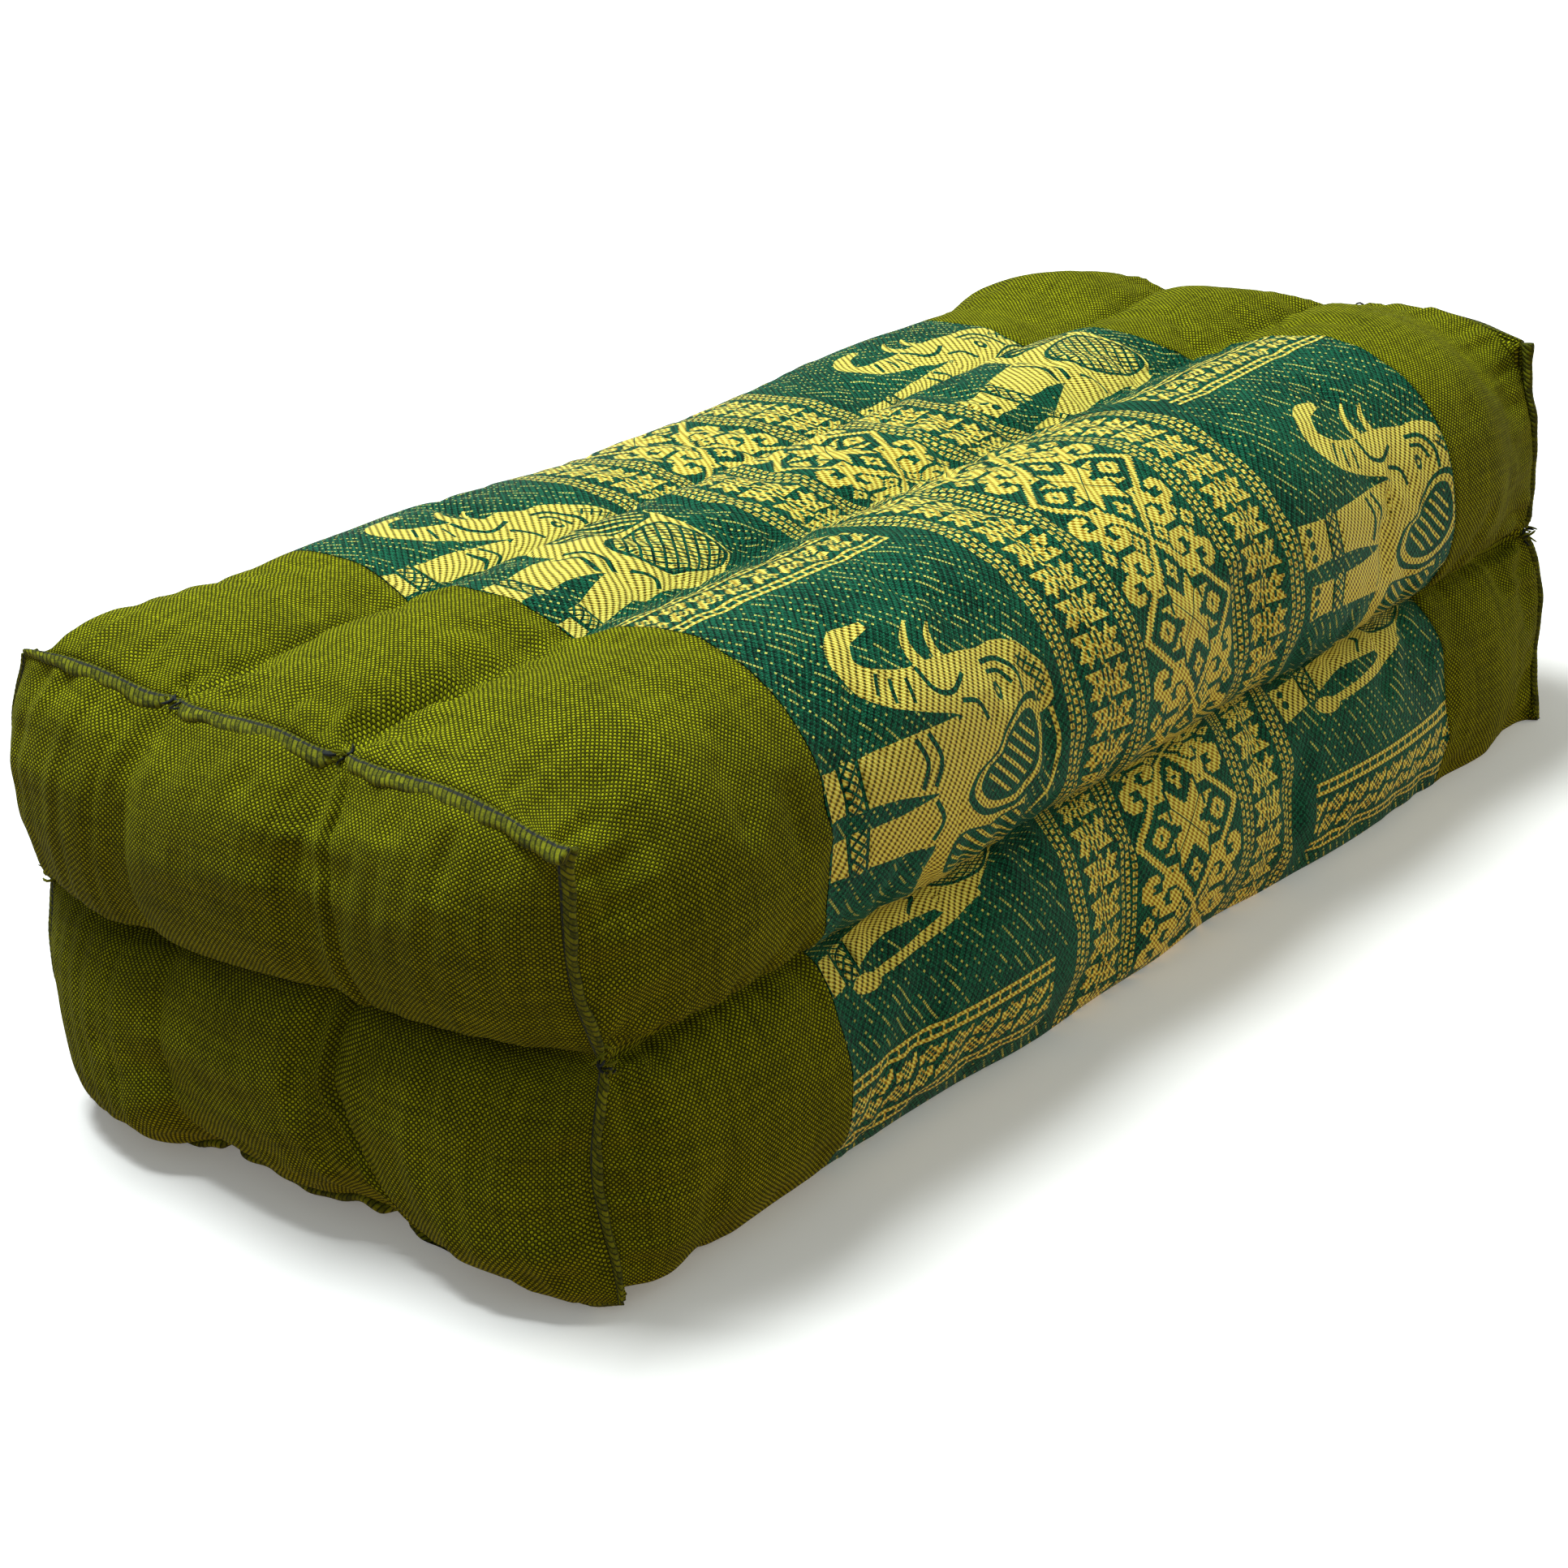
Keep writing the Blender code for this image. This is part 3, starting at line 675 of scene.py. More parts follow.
def end_bulge(a, b):
    """Moves of an end panel, in metres, along x and z: an upper pillow over a fold, and a lower one."""
    across = 2 * a - 1
    fold = 0.505 + 0.010 * np.sin(5.2 * a + 0.7) + 0.006 * np.sin(13 * a + 1.9)
    upper = b > fold
    v = np.where(upper, (b - fold) / (1 - fold), (fold - b) / fold)
    peak = np.where(upper, 0.42, 0.50)
    before = np.maximum(1 - (1 - np.minimum(v / peak, 1)) ** 2, 0) ** np.where(upper, 0.50, 0.62)
    after = np.maximum(1 - np.maximum((v - peak) / (1 - peak), 0) ** 2.3, 0) ** 0.75
    sides = np.maximum(1 - np.abs(across) ** 2.8, 0) ** 0.62
    bulge = np.where(upper, 0.0160, 0.0140) * before * after * sides
    bulge -= 0.0042 * bump(b, fold, 0.026) * sides
    level = 1 - 0.25 * bump(b, fold, 0.05)
    for upper_line, lower_line, crisp in ((CRISP_UPPER, CRISP_LOWER, 1.0), (SOFT_UPPER, SOFT_LOWER, 0.0)):
        u = pleat_place(a, b, upper, (upper_line, lower_line))
        bulge -= 0.0024 * np.exp(-((u / 11) ** 2)) * level * after * (0.7 + 0.5 * crisp)
        ridge, crease = pleat_profile(u)
        bulge += crisp * (ridge + crease) * ease(np.where(upper, (1 - b) / 0.05, b / 0.06))
    low_lobes = 0.0015 + 0.0045 * ease((a - 0.58) / 0.2) + 0.0052 * ease((0.30 - a) / 0.16)
    bulge += low_lobes * bump(b, 0.10, 0.10) * sides
    ripple = 0.0
    for height, turns, spread in (
        (0.00026, a * 15.5 + 0.45 * np.sin(7 * b + 2), 5 * a + 4 * b),
        (0.00022, a * 26 + 0.8 * b + 0.2 * np.sin(9 * b), 9 * a + 6),
        (0.00035, b * 9 + 1.2 * a, 11 * a + 3 * b + 1),
    ):
        ripple = ripple + height * np.sin(2 * np.pi * turns) * (0.5 + 0.5 * np.sin(spread))
    bulge += ripple * ease(sides * 1.6) * ease(after * 1.6)
    hang = np.where(upper, -0.0046, 0.0010) * bump(v, 0.15, 0.15) * sides
    return bulge, hang


def end_skin(end, a, b):
    a, b = np.broadcast_arrays(np.asarray(a, float), np.asarray(b, float))
    shape = a.shape
    a, b = a.ravel(), b.ravel()
    front, back = rim_point(end, "front", b), rim_point(end, "back", b)
    low, high = rim_point(end, "bottom", a), rim_point(end, "top", a)
    zero, one = np.zeros(1), np.ones(1)
    corner = {
        (i, j): rim_point(end, "top" if j else "bottom", one if i else zero) for i in (0, 1) for j in (0, 1)
    }
    u, v = a[:, None], b[:, None]
    corners = corner[0, 0] * (1 - u) * (1 - v) + corner[1, 0] * u * (1 - v)
    corners = corners + corner[0, 1] * (1 - u) * v + corner[1, 1] * u * v
    points = front * (1 - u) + back * u + low * (1 - v) + high * v - corners
    bulge, hang = end_bulge(a, b)
    points[:, 0] += end * bulge
    points[:, 2] += hang
    if end in Moves.ends:
        moves = Moves.ends[end]
        rows, columns = moves.shape[:2]
        points += sample_grid(moves, b * (rows - 1), a * (columns - 1), False)
    points[:, 2] = np.maximum(points[:, 2], 0.0005)
    return points.reshape(shape + (3,))


def end_normals(end, a, b):
    step = 0.004
    across = end_skin(end, np.clip(a + step, 0, 1), b) - end_skin(end, np.clip(a - step, 0, 1), b)
    up = end_skin(end, a, np.clip(b + step, 0, 1)) - end_skin(end, a, np.clip(b - step, 0, 1))
    return unit(end * np.cross(across, up))


# Mesh helpers

def mesh_object(name, points, faces, uvs, material, attributes=None):
    data = bpy.data.meshes.new(name)
    data.from_pydata(np.asarray(points).tolist(), [], [list(map(int, face)) for face in faces])
    layer = data.uv_layers.new(name="cloth")
    layer.data.foreach_set("uv", np.asarray(uvs, np.float32).ravel())
    for key, values in (attributes or {}).items():
        attribute = data.attributes.new(key, "FLOAT", "FACE")
        attribute.data.foreach_set("value", np.asarray(values, np.float32))
    data.materials.append(material)
    data.shade_smooth()
    return linked(name, data)


def quads(rows, columns, wrap=False, rings=False):
    """Faces of a grid whose vertices are numbered row by row. The last row or column can join the first."""
    r = np.arange(rows if wrap else rows - 1)
    c = np.arange(columns if rings else columns - 1)
    r, c = [v.ravel() for v in np.meshgrid(r, c, indexing="ij")]
    here, following, next_c = r * columns, (r + 1) % rows * columns, (c + 1) % columns
    return np.stack([here + c, here + next_c, following + next_c, following + c], 1)


def rim_indices(rows, columns):
    """Vertices round the rim of such a grid."""
    edge = list(range(columns)) + [r * columns + columns - 1 for r in range(1, rows)]
    edge += [(rows - 1) * columns + c for c in range(columns - 2, -1, -1)]
    return edge + [r * columns for r in range(rows - 2, 0, -1)]


def square(across, up):
    """Places on an end panel at lines across and up."""
    return np.meshgrid(across, up, indexing="xy")


def on_rim(a, b):
    return (a == 0) | (a == 1) | (b == 0) | (b == 1)


def facing_out(points, faces, normals_at):
    """True where the faces of a grid look the way their first vertex's normal does."""
    first = faces[len(faces) // 2]
    a, b, c = points[first[0]], points[first[1]], points[first[2]]
    return np.dot(np.cross(b - a, c - a), normals_at[first[0]]) > 0


# Cloth simulation of the filled skin, held along its seams and sewn channels

SIM_FRAMES, SIM_PRESSURE, SIM_SLACK, SIM_CAP = 24, 5.0, 0.010, 0.0012
SIM_CHAMBER_ROWS, SIM_COLUMNS, SIM_END_ROWS, SIM_END_COLUMNS = 20, 80, 29, 41


def settle(points, faces, held):
    """Where the vertices of a cloth lie once the filling has pushed on it for some frames."""
    data = bpy.data.meshes.new("settling_cloth")
    data.from_pydata(points.tolist(), [], faces.tolist())
    obj = linked("settling_cloth", data)
    scene = bpy.context.scene
    obj.vertex_groups.new(name="held").add(np.flatnonzero(held).tolist(), 1.0, "REPLACE")
    cloth = obj.modifiers.new("Cloth", "CLOTH")
    settings = cloth.settings
    settings.quality, settings.mass, settings.air_damping = 6, 0.05, 4.0
    settings.tension_stiffness, settings.compression_stiffness = 20.0, 4.0
    settings.shear_stiffness, settings.bending_stiffness = 3.0, 0.05
    settings.tension_damping = settings.compression_damping = settings.shear_damping = 5.0
    settings.bending_damping = 0.5
    settings.vertex_group_mass = "held"
    settings.shrink_min = -SIM_SLACK
    settings.use_pressure = True
    settings.uniform_pressure_force = SIM_PRESSURE
    settings.effector_weights.gravity = 0.0
    cloth.collision_settings.use_collision = False
    cloth.point_cache.frame_start, cloth.point_cache.frame_end = 1, SIM_FRAMES
    for step in range(1, SIM_FRAMES + 1):
        scene.frame_set(step)
    settled = obj.evaluated_get(bpy.context.evaluated_depsgraph_get())
    found = np.empty(len(points) * 3, np.float32)
    settled.data.vertices.foreach_get("co", found)
    scene.frame_set(1)
    bpy.data.objects.remove(obj)
    bpy.data.meshes.remove(data)
    return found.reshape(-1, 3).astype(float)


def tamed(moves, normals, wrap):
    """A grid's moves straight out of the skin, without their broad swelling, none longer than the cap."""
    out = np.sum(moves * normals, -1)
    broad = out
    for _ in range(60):
        padded = np.pad(broad, ((1, 1), (0, 0)), mode="wrap" if wrap else "edge")
        broad = (padded[:-2] + 2 * padded[1:-1] + padded[2:]) / 4
        padded = np.pad(broad, ((0, 0), (1, 1)), mode="edge")
        broad = (padded[:, :-2] + 2 * padded[:, 1:-1] + padded[:, 2:]) / 4
    kept = np.clip(out - broad * np.minimum(1, np.abs(out) / 0.0005), -SIM_CAP, SIM_CAP)
    return kept[..., None] * normals


def simulate():
    rows, columns = 6 * SIM_CHAMBER_ROWS, SIM_COLUMNS
    around = np.interp(np.arange(rows) / SIM_CHAMBER_ROWS, np.arange(7), ARC_STARTS)
    x_lines = np.linspace(-HALF, HALF, columns)
    s, x = np.meshgrid(around, x_lines, indexing="ij")
    points = skin(s, x)
    flat = points.reshape(-1, 3)
    faces = quads(rows, columns, wrap=True)
    normals = skin_normals(s, x)
    if not facing_out(flat, faces, normals.reshape(-1, 3)):
        faces = faces[:, ::-1]
    held = (np.abs(x) > HALF - 1e-6) | (points[..., 2] < 0.0008)
    held[::SIM_CHAMBER_ROWS] = True
    moved = settle(flat, faces, held.ravel()).reshape(points.shape) - points
    if np.sum(normals[rows // 4, columns // 2] * (points[rows // 4, columns // 2] - (0, 0, 0.05))) < 0:
        normals = -normals
    girth_moves = tamed(moved, normals, True)
    ends = {}
    for end in (NEAR, FAR):
        a, b = square(np.linspace(0, 1, SIM_END_COLUMNS), np.linspace(0, 1, SIM_END_ROWS))
        points = end_skin(end, a, b)
        faces = quads(SIM_END_ROWS, SIM_END_COLUMNS)
        if not facing_out(points.reshape(-1, 3), faces, np.tile([end, 0.0, 0.0], (a.size, 1))):
            faces = faces[:, ::-1]
        moved = settle(points.reshape(-1, 3), faces, on_rim(a, b).ravel()).reshape(points.shape) - points
        ends[end] = tamed(moved, end_normals(end, a, b), False)
    Moves.girth = (around, x_lines, girth_moves)
    Moves.ends = ends


# Materials

# A chart's rows at most, the columns that one colour holds, and the levels of a colour
CHART_ROWS, CHART_GROUP, CHART_LEVELS = 32.0, 8, 256.0


class Nodes:
    """Short calls for building a node tree."""

    def __init__(self, name):
        self.material = bpy.data.materials.new(name)
        self.material.use_nodes = True
        self.tree = self.material.node_tree
        self.shader = self.tree.nodes["Principled BSDF"]

    def feed(self, socket, value):
        feed(self.tree, socket, value)

    def node(self, kind, inputs=(), **settings):
        return add_node(self.tree, kind, inputs, **settings)

    def surface(self, colour, roughness, specular):
        keys = ("Base Color", "Roughness", "Specular IOR Level")
        for key, value in zip(keys, (colour, roughness, specular)):
            self.feed(self.shader.inputs[key], value)

    def math(self, operation, a, b=None, c=None):
        return self.node("Math", enumerate((a, b, c)), operation=operation).outputs[0]

    def blend(self, share, a, b):
        a, b = (value if isinstance(value, bpy.types.NodeSocket) else (*value, 1.0) for value in (a, b))
        return self.node("Mix", (("Factor", share), ("A", a), ("B", b)), data_type="RGBA").outputs["Result"]

    def ramp(self, value, low, high, to_low=0.0, to_high=1.0):
        keys = ("Value", "From Min", "From Max", "To Min", "To Max")
        inputs = zip(keys, (value, low, high, to_low, to_high))
        return self.node("MapRange", inputs, interpolation_type="SMOOTHSTEP").outputs[0]

    def noise(self, vector, scale, detail=2.0, rough=0.5):
        inputs = (("Vector", vector), ("Scale", scale), ("Detail", detail), ("Roughness", rough))
        return self.node("TexNoise", inputs).outputs[0]

    def cloth(self):
        """Cloth coordinates in millimetres: round the girth, and along."""
        place = self.node("UVMap", uv_map="cloth").outputs[0]
        parts = self.node("SeparateXYZ", [(0, place)])
        return place, parts.outputs[0], parts.outputs[1]

    def vector(self, x, y, z=0.0):
        return self.node("CombineXYZ", enumerate((x, y, z))).outputs[0]

    def bump(self, height, distance):
        node = self.node("Bump", (("Strength", 1.0), ("Distance", distance), ("Height", height)))
        self.feed(self.shader.inputs["Normal"], node.outputs[0])

    def attribute(self, name):
        return self.node("Attribute", attribute_type="GEOMETRY", attribute_name=name).outputs["Fac"]

    def random(self, x, y=0.0, z=0.0):
        place = self.vector(x, y, z)
        return self.node("TexWhiteNoise", [("Vector", place)], noise_dimensions="3D").outputs["Value"]

    def minus(self, a, b):
        return self.math("SUBTRACT", a, b)

    def ratio(self, a, b):
        return self.math("DIVIDE", a, b)

    def floor(self, value):
        return self.math("FLOOR", value)

    def fraction(self, value):
        return self.math("FRACT", value)

    def wrap(self, value, period):
        return self.math("FLOORED_MODULO", value, period)

    def less(self, value, limit):
        return self.math("LESS_THAN", value, limit)

    def more(self, value, limit):
        return self.math("GREATER_THAN", value, limit)

    def joined(self, operation, values):
        total = values[0]
        for value in values[1:]:
            total = self.math(operation, total, value)
        return total

    def times(self, *values):
        return self.joined("MULTIPLY", values)

    def plus(self, *values):
        return self.joined("ADD", values)

    def either(self, *values):
        return self.joined("MAXIMUM", values)

    def near(self, value, centre, reach):
        """1 within reach of centre."""
        return self.less(self.math("ABSOLUTE", self.minus(value, centre)), reach)

    def chart(self, rows, row, column):
        """Letter of a chart, as 0 or 1, at whole numbers of row and column. The rows are the steps of a
        colour ramp, whose red, green and blue hold a group of columns each, one bit a column."""
        node = self.node("ValToRGB")
        ramp = node.color_ramp
        ramp.interpolation = "CONSTANT"
        while len(ramp.elements) < len(rows):
            ramp.elements.new(1.0)
        for index in range(len(rows)):
            ramp.elements[index].position = index / CHART_ROWS
        for index, letters in enumerate(rows):
            bits = [0, 0, 0]
            for place, letter in enumerate(letters):
                if letter == "#":
                    bits[place // CHART_GROUP] += 1 << (place % CHART_GROUP)
            ramp.elements[index].color = (*(group / CHART_LEVELS for group in bits), 1.0)
        self.feed(node.inputs[0], self.ratio(self.plus(row, 0.5), CHART_ROWS))
        split = self.node("SeparateColor", [(0, node.outputs[0])])
        group = self.floor(self.ratio(column, CHART_GROUP))
        place = self.minus(column, self.times(group, CHART_GROUP))
        value = self.plus(
            self.times(split.outputs[0], self.less(group, 0.5)),
            self.times(split.outputs[1], self.near(group, 1.0, 0.5)),
            self.times(split.outputs[2], self.more(group, 1.5)),
        )
        power = self.math("POWER", 2.0, place)
        shifted = self.floor(self.plus(self.ratio(self.times(value, CHART_LEVELS), power), 0.01))
        return self.wrap(shifted, 2.0)


def linear(red, green, blue):
    """Linear colour of an sRGB one given from 0 to 255."""
    return tuple(
        (c / 12.92 if c <= 0.04045 else ((c + 0.055) / 1.055) ** 2.4)
        for c in (red / 255, green / 255, blue / 255)
    )


def cotton_material(name):
    """Plain weave: light and dark threads cross over each other, each a little uneven."""
    n = Nodes(name)
    vector, s, x = n.cloth()
    drift_s = n.math("MULTIPLY_ADD", n.noise(vector, 0.06, 2.0), 1.4, -0.7)
    drift_x = n.math("MULTIPLY_ADD", n.noise(n.vector(x, s, 9.0), 0.06, 2.0), 1.4, -0.7)
    u = n.ratio(n.plus(s, drift_s), THREADS[0])
    v = n.ratio(n.plus(x, drift_x), THREADS[1])
    over = n.wrap(n.plus(n.floor(u), n.floor(v)), 2.0)
    along = n.math("SINE", n.times(n.fraction(u), math.pi))
    across = n.math("SINE", n.times(n.fraction(v), math.pi))
    rounded = n.math("POWER", n.times(along, across), 0.60)
    grain = n.random(n.floor(u), n.floor(v))
    thread_s = n.noise(n.vector(n.floor(u), n.times(v, 0.06)), 0.5, 2.0)
    thread_x = n.noise(n.vector(n.times(u, 0.06), n.floor(v), 5.0), 0.5, 2.0)
    tone = n.plus(n.times(thread_s, 0.42), n.times(thread_x, 0.42), n.times(grain, 0.16))
    light = n.blend(n.ramp(tone, 0.20, 0.80), linear(124, 131, 8), linear(190, 198, 28))
    dark = n.blend(n.ramp(tone, 0.20, 0.80), linear(46, 49, 2), linear(88, 92, 5))
    mottle = n.noise(vector, 0.035, 3.0, 0.55)
    thread = n.blend(over, dark, light)
    # Darker towards the gaps between the threads: painted shade on the rounded threads and in the gaps of the
    # weave
    thread = n.blend(n.ramp(rounded, 0.05, 0.75), linear(12, 14, 0), thread)
    thread = n.blend(n.ramp(mottle, 0.35, 0.70, 0.0, 0.20), thread, linear(62, 60, 2))
    n.surface(thread, 0.90, 0.08)
    n.bump(n.plus(rounded, n.times(over, 0.7), n.times(tone, 0.4)), 0.00012)
    return n.material


def band_figure(n, s, x):
    """Gold of the three woven bands: the lozenges, the combs and the dotted lines."""
    from_middle = n.minus(x, BAND_CENTRE)
    away = n.math("ABSOLUTE", from_middle)
    turn = n.minus(n.wrap(n.plus(s, FRAME_PITCH / 2 - FRAME_AT), FRAME_PITCH), FRAME_PITCH / 2)
    up = n.math("ABSOLUTE", turn)
    row = n.floor(n.ratio(up, FRAME_CELL[1] + 1e-5))
    column = n.floor(n.ratio(away, FRAME_CELL[0]))
    lozenge = n.times(n.chart(LOZENGE, row, column), n.less(away, len(LOZENGE[0]) * FRAME_CELL[0]))
    cross = n.times(n.near(n.minus(away, up), 0.0, CROSS_LINE), n.less(away, CROSS_REACH))
    lozenge = n.times(lozenge, n.minus(1.0, cross))

    halves = [line + "." for line in ["........."] + COMB]
    turned = [line[::-1] for line in COMB[::-1]] + ["........."]
    knots = {0: "#", 5: "#"}
    rows = [left[:9] + knots.get(k, ".") + right for k, (left, right) in enumerate(zip(halves, turned))]
    start = n.plus(from_middle, MOTIF_BAND[1])
    local = n.minus(start, n.times(n.more(from_middle, 0.0), MOTIF_BAND[0] + MOTIF_BAND[1]))
    in_repeat = n.wrap(n.minus(MOTIF_AT, s), len(rows) * MOTIF_CELL[1])
    comb_row = n.floor(n.ratio(in_repeat, MOTIF_CELL[1] + 1e-5))
    comb_column = n.floor(n.ratio(local, MOTIF_CELL[0]))
    in_combs = n.times(n.more(away, MOTIF_BAND[0]), n.less(away, MOTIF_BAND[1] - 0.02))
    comb = n.times(n.chart(rows, comb_row, comb_column), in_combs)

    dots = 0.0
    for start in DOT_BANDS:
        across = n.ratio(n.minus(away, start), DOT_PITCH)
        which = n.floor(across)
        inside = n.times(n.more(across, 0.0), n.less(across, 3.0))
        along = n.plus(n.ratio(s, DOT_LENGTH), n.times(which, 0.5))
        split = n.times(n.near(n.fraction(across), 0.5, 0.05), n.minus(1.0, n.near(which, 1.0, 0.5)))
        dash = n.times(n.near(n.fraction(across), 0.5, 0.32), n.near(n.fraction(along), 0.5, 0.34), inside)
        dash = n.times(dash, n.minus(1.0, split))
        dots = dash if isinstance(dots, float) else n.either(dots, dash)
    return n.either(lozenge, comb, dots), away


def divider_figure(n, s, x):
    """Gold of the leafy dividers between the elephants."""
    place = n.minus(n.wrap(n.plus(s, DIVIDER_PITCH / 2 - DIVIDER), DIVIDER_PITCH), DIVIDER_PITCH / 2)
    away = n.math("ABSOLUTE", place)
    side = n.math("SIGN", place)
    row = n.floor(n.ratio(away, LEAF_CELL))
    sided = n.times(n.plus(x, LEAF_FROM), n.times(side, -1.0))
    column = n.floor(n.ratio(n.wrap(n.plus(sided, LEAF_START), LEAF_PITCH), LEAF_CELL + 1e-4))
    leaves = n.times(n.chart(LEAVES, row, column), n.less(away, LEAF_REACH))
    lines = n.either(n.near(away, DIVIDER_LINES[0], 0.50), n.near(away, DIVIDER_LINES[1], 0.45))
    in_rung = n.less(n.wrap(n.plus(x, n.times(side, 0.8)), RUNG_PITCH), RUNG_LENGTH)
    rung = n.times(in_rung, n.near(away, RUNG_AT, RUNG_REACH))
    return n.either(leaves, lines, rung), away


def brocade_material(name):
    n = Nodes(name)
    vector, s, x = n.cloth()
    figure = n.attribute("figure")
    band, away = band_figure(n, s, x)
    in_band = n.less(away, BAND_HALF)
    divider, from_divider = divider_figure(n, s, x)
    in_zone = n.more(away, DIVIDER_FROM)
    divider = n.times(divider, in_zone, n.less(from_divider, DIVIDER_REACH))

    # Elephants: plain gold, a net over gold, and stripes
    net_a = n.fraction(n.ratio(n.plus(s, x), NET_PITCHES[0]))
    net_b = n.fraction(n.ratio(n.minus(s, x), NET_PITCHES[1]))
    net = n.minus(1.0, n.either(n.near(net_a, 0.5, 0.17), n.near(net_b, 0.5, 0.13)))
    slope = n.plus(n.times(s, 0.75), n.times(x, 0.66))
    stripes = n.near(n.fraction(n.ratio(slope, STRIPE_PITCH)), 0.5, 0.18)
    plain, netted = n.near(figure, GOLD, 0.5), n.near(figure, NET, 0.5)
    striped = n.near(figure, STRIPES, 0.5)
    animal = n.either(plain, n.times(netted, net), n.times(striped, stripes))

    # Small gold stitches in slanting rows on the open ground
    steep, flat = STITCH_SLANT
    along = n.minus(n.times(x, flat), n.times(s, steep))
    across = n.plus(n.times(x, steep), n.times(s, flat))
    lines = n.ratio(across, STITCH_ROW)
    line = n.floor(lines)
    steps = n.plus(n.ratio(along, STITCH_LENGTH), n.times(n.random(line), 9.0))
    step = n.floor(steps)
    run = n.random(line, n.floor(n.ratio(step, 4.0)), 3.0)
    luck = n.random(line, step, 8.0)
    even = n.less(n.wrap(step, 2.0), 0.5)
    there = n.times(n.more(run, 0.22), n.more(luck, 0.16), n.either(even, n.more(run, 0.70)))
    dash = n.times(n.near(n.fraction(lines), 0.5, 0.105), n.near(n.fraction(steps), 0.5, 0.36), there)
    dash = n.times(dash, n.more(away, BAND_HALF + 2.0), n.more(from_divider, 10.2), n.less(figure, 0.5))

    gold = n.either(n.times(band, in_band), divider, animal)

    # Dark and light green threads of the ground cross in small cells, and their twill slants over them
    def wave(by_s, by_x):
        return n.math("COSINE", n.times(n.plus(n.times(s, by_s), n.times(x, by_x)), 2 * math.pi))

    cell_s = n.ratio(s, GROUND_CELL[0])
    cell_x = n.ratio(x, GROUND_CELL[1])
    parity = n.wrap(n.plus(n.floor(cell_s), n.floor(cell_x)), 2.0)
    beads = [n.math("SINE", n.times(n.fraction(cell), math.pi)) for cell in (cell_s, cell_x)]
    weave = n.math("POWER", n.times(*beads), 0.6)
    cloudy = n.noise(vector, 0.05, 3.0, 0.6)
    speck = n.random(n.floor(cell_s), n.floor(cell_x), 1.0)
    tone = n.plus(n.times(wave(-0.47, 0.56), 0.17), n.times(wave(0.48, 0.60), 0.10), n.times(parity, 0.22))
    tone = n.plus(tone, n.times(speck, 0.30), n.times(cloudy, 0.40))
    ground = n.blend(n.ramp(tone, 0.10, 0.85), linear(1, 10, 14), linear(28, 118, 88))
    # Darker towards the gaps between the ground threads: painted shade on the rounded threads and in the gaps
    # of the weave
    ground = n.blend(n.ramp(weave, 0.0, 0.6), linear(1, 12, 14), ground)

    # Gold floats lie as slanting ribs of small bright stitches, with broken dark lines between them
    rib, stitch = wave(-0.39, 0.52), wave(0.86, 0.90)
    lengthwise = n.ramp(rib, -0.35, -0.85)
    dotted = n.ramp(stitch, 0.70, -0.20, 0.15, 1.0)
    gap = n.times(lengthwise, dotted)
    in_animal = n.more(figure, 0.5)
    between = n.times(gap, n.plus(0.20, n.times(in_animal, 0.72)))
    glint = n.math("MULTIPLY_ADD", stitch, 0.5, 0.5)
    uneven = n.noise(vector, 1.1, 1.0)
    tone = n.plus(n.times(rib, 0.26), n.times(glint, 0.62), n.times(uneven, 0.24))
    thread = n.blend(n.ramp(tone, 0.05, 0.80), linear(176, 130, 6), linear(255, 255, 128))
    thread = n.blend(between, thread, linear(12, 52, 24))
    colour = n.blend(gold, ground, thread)
    colour = n.blend(n.times(dash, n.plus(0.35, n.times(luck, 0.60))), colour, linear(236, 236, 120))
    n.surface(colour, n.math("MULTIPLY_ADD", gold, -0.12, 0.62), 0.22)
    n.feed(n.shader.inputs["Specular Tint"], n.blend(gold, linear(90, 200, 150), linear(255, 236, 140)))
    shares = ((gold, 0.8), (weave, 0.4), (between, -0.9), (glint, 0.3), (dash, 0.4))
    n.bump(n.plus(*(n.times(*share) for share in shares)), 0.00022)
    return n.material


def overlock_material(name):
    """Cloth edge under slanting overlock threads, with a navy line of stitches at its root."""
    n = Nodes(name)
    vector, s, v = n.cloth()
    from_root = n.math("ABSOLUTE", v)
    slant = n.plus(n.ratio(s, OVERLOCK_PITCH), n.times(from_root, 0.42))
    loops = n.math("ABSOLUTE", n.math("SINE", n.times(slant, math.pi)))
    which = n.random(n.floor(slant), n.floor(n.ratio(from_root, 1.3)))
    tone = n.plus(n.times(which, 0.35), n.times(n.noise(vector, 2.2, 2.0), 0.65))
    thread = n.blend(n.ramp(tone, 0.2, 0.8), linear(54, 60, 4), linear(134, 140, 13))
    cloth = n.blend(tone, linear(48, 52, 3), linear(126, 132, 10))
    edge = n.ramp(from_root, 0.9, 1.8)
    colour = n.blend(edge, cloth, thread)
    # Dark lines between the slanting loops: painted shade in the gaps between the overlock threads
    colour = n.blend(n.ramp(loops, 0.75, 0.05, 0.0, 0.9), colour, linear(16, 20, 2))
    stitched = n.times(n.near(v, 0.80, 0.32), n.less(n.fraction(n.ratio(s, NAVY_PITCH)), 0.90))
    colour = n.blend(n.either(n.times(stitched, 0.9), n.attribute("navy")), colour, linear(34, 40, 46))
    n.surface(colour, 0.85, 0.2)
    n.bump(n.plus(loops, n.times(tone, 0.6)), 0.00018)
    return n.material


COTTON = cotton_material("olive_cotton_weave")
BROCADE = brocade_material("gold_green_brocade_weave")
EDGING = overlock_material("olive_overlock_thread")


# The filled cushion with its two plain bands

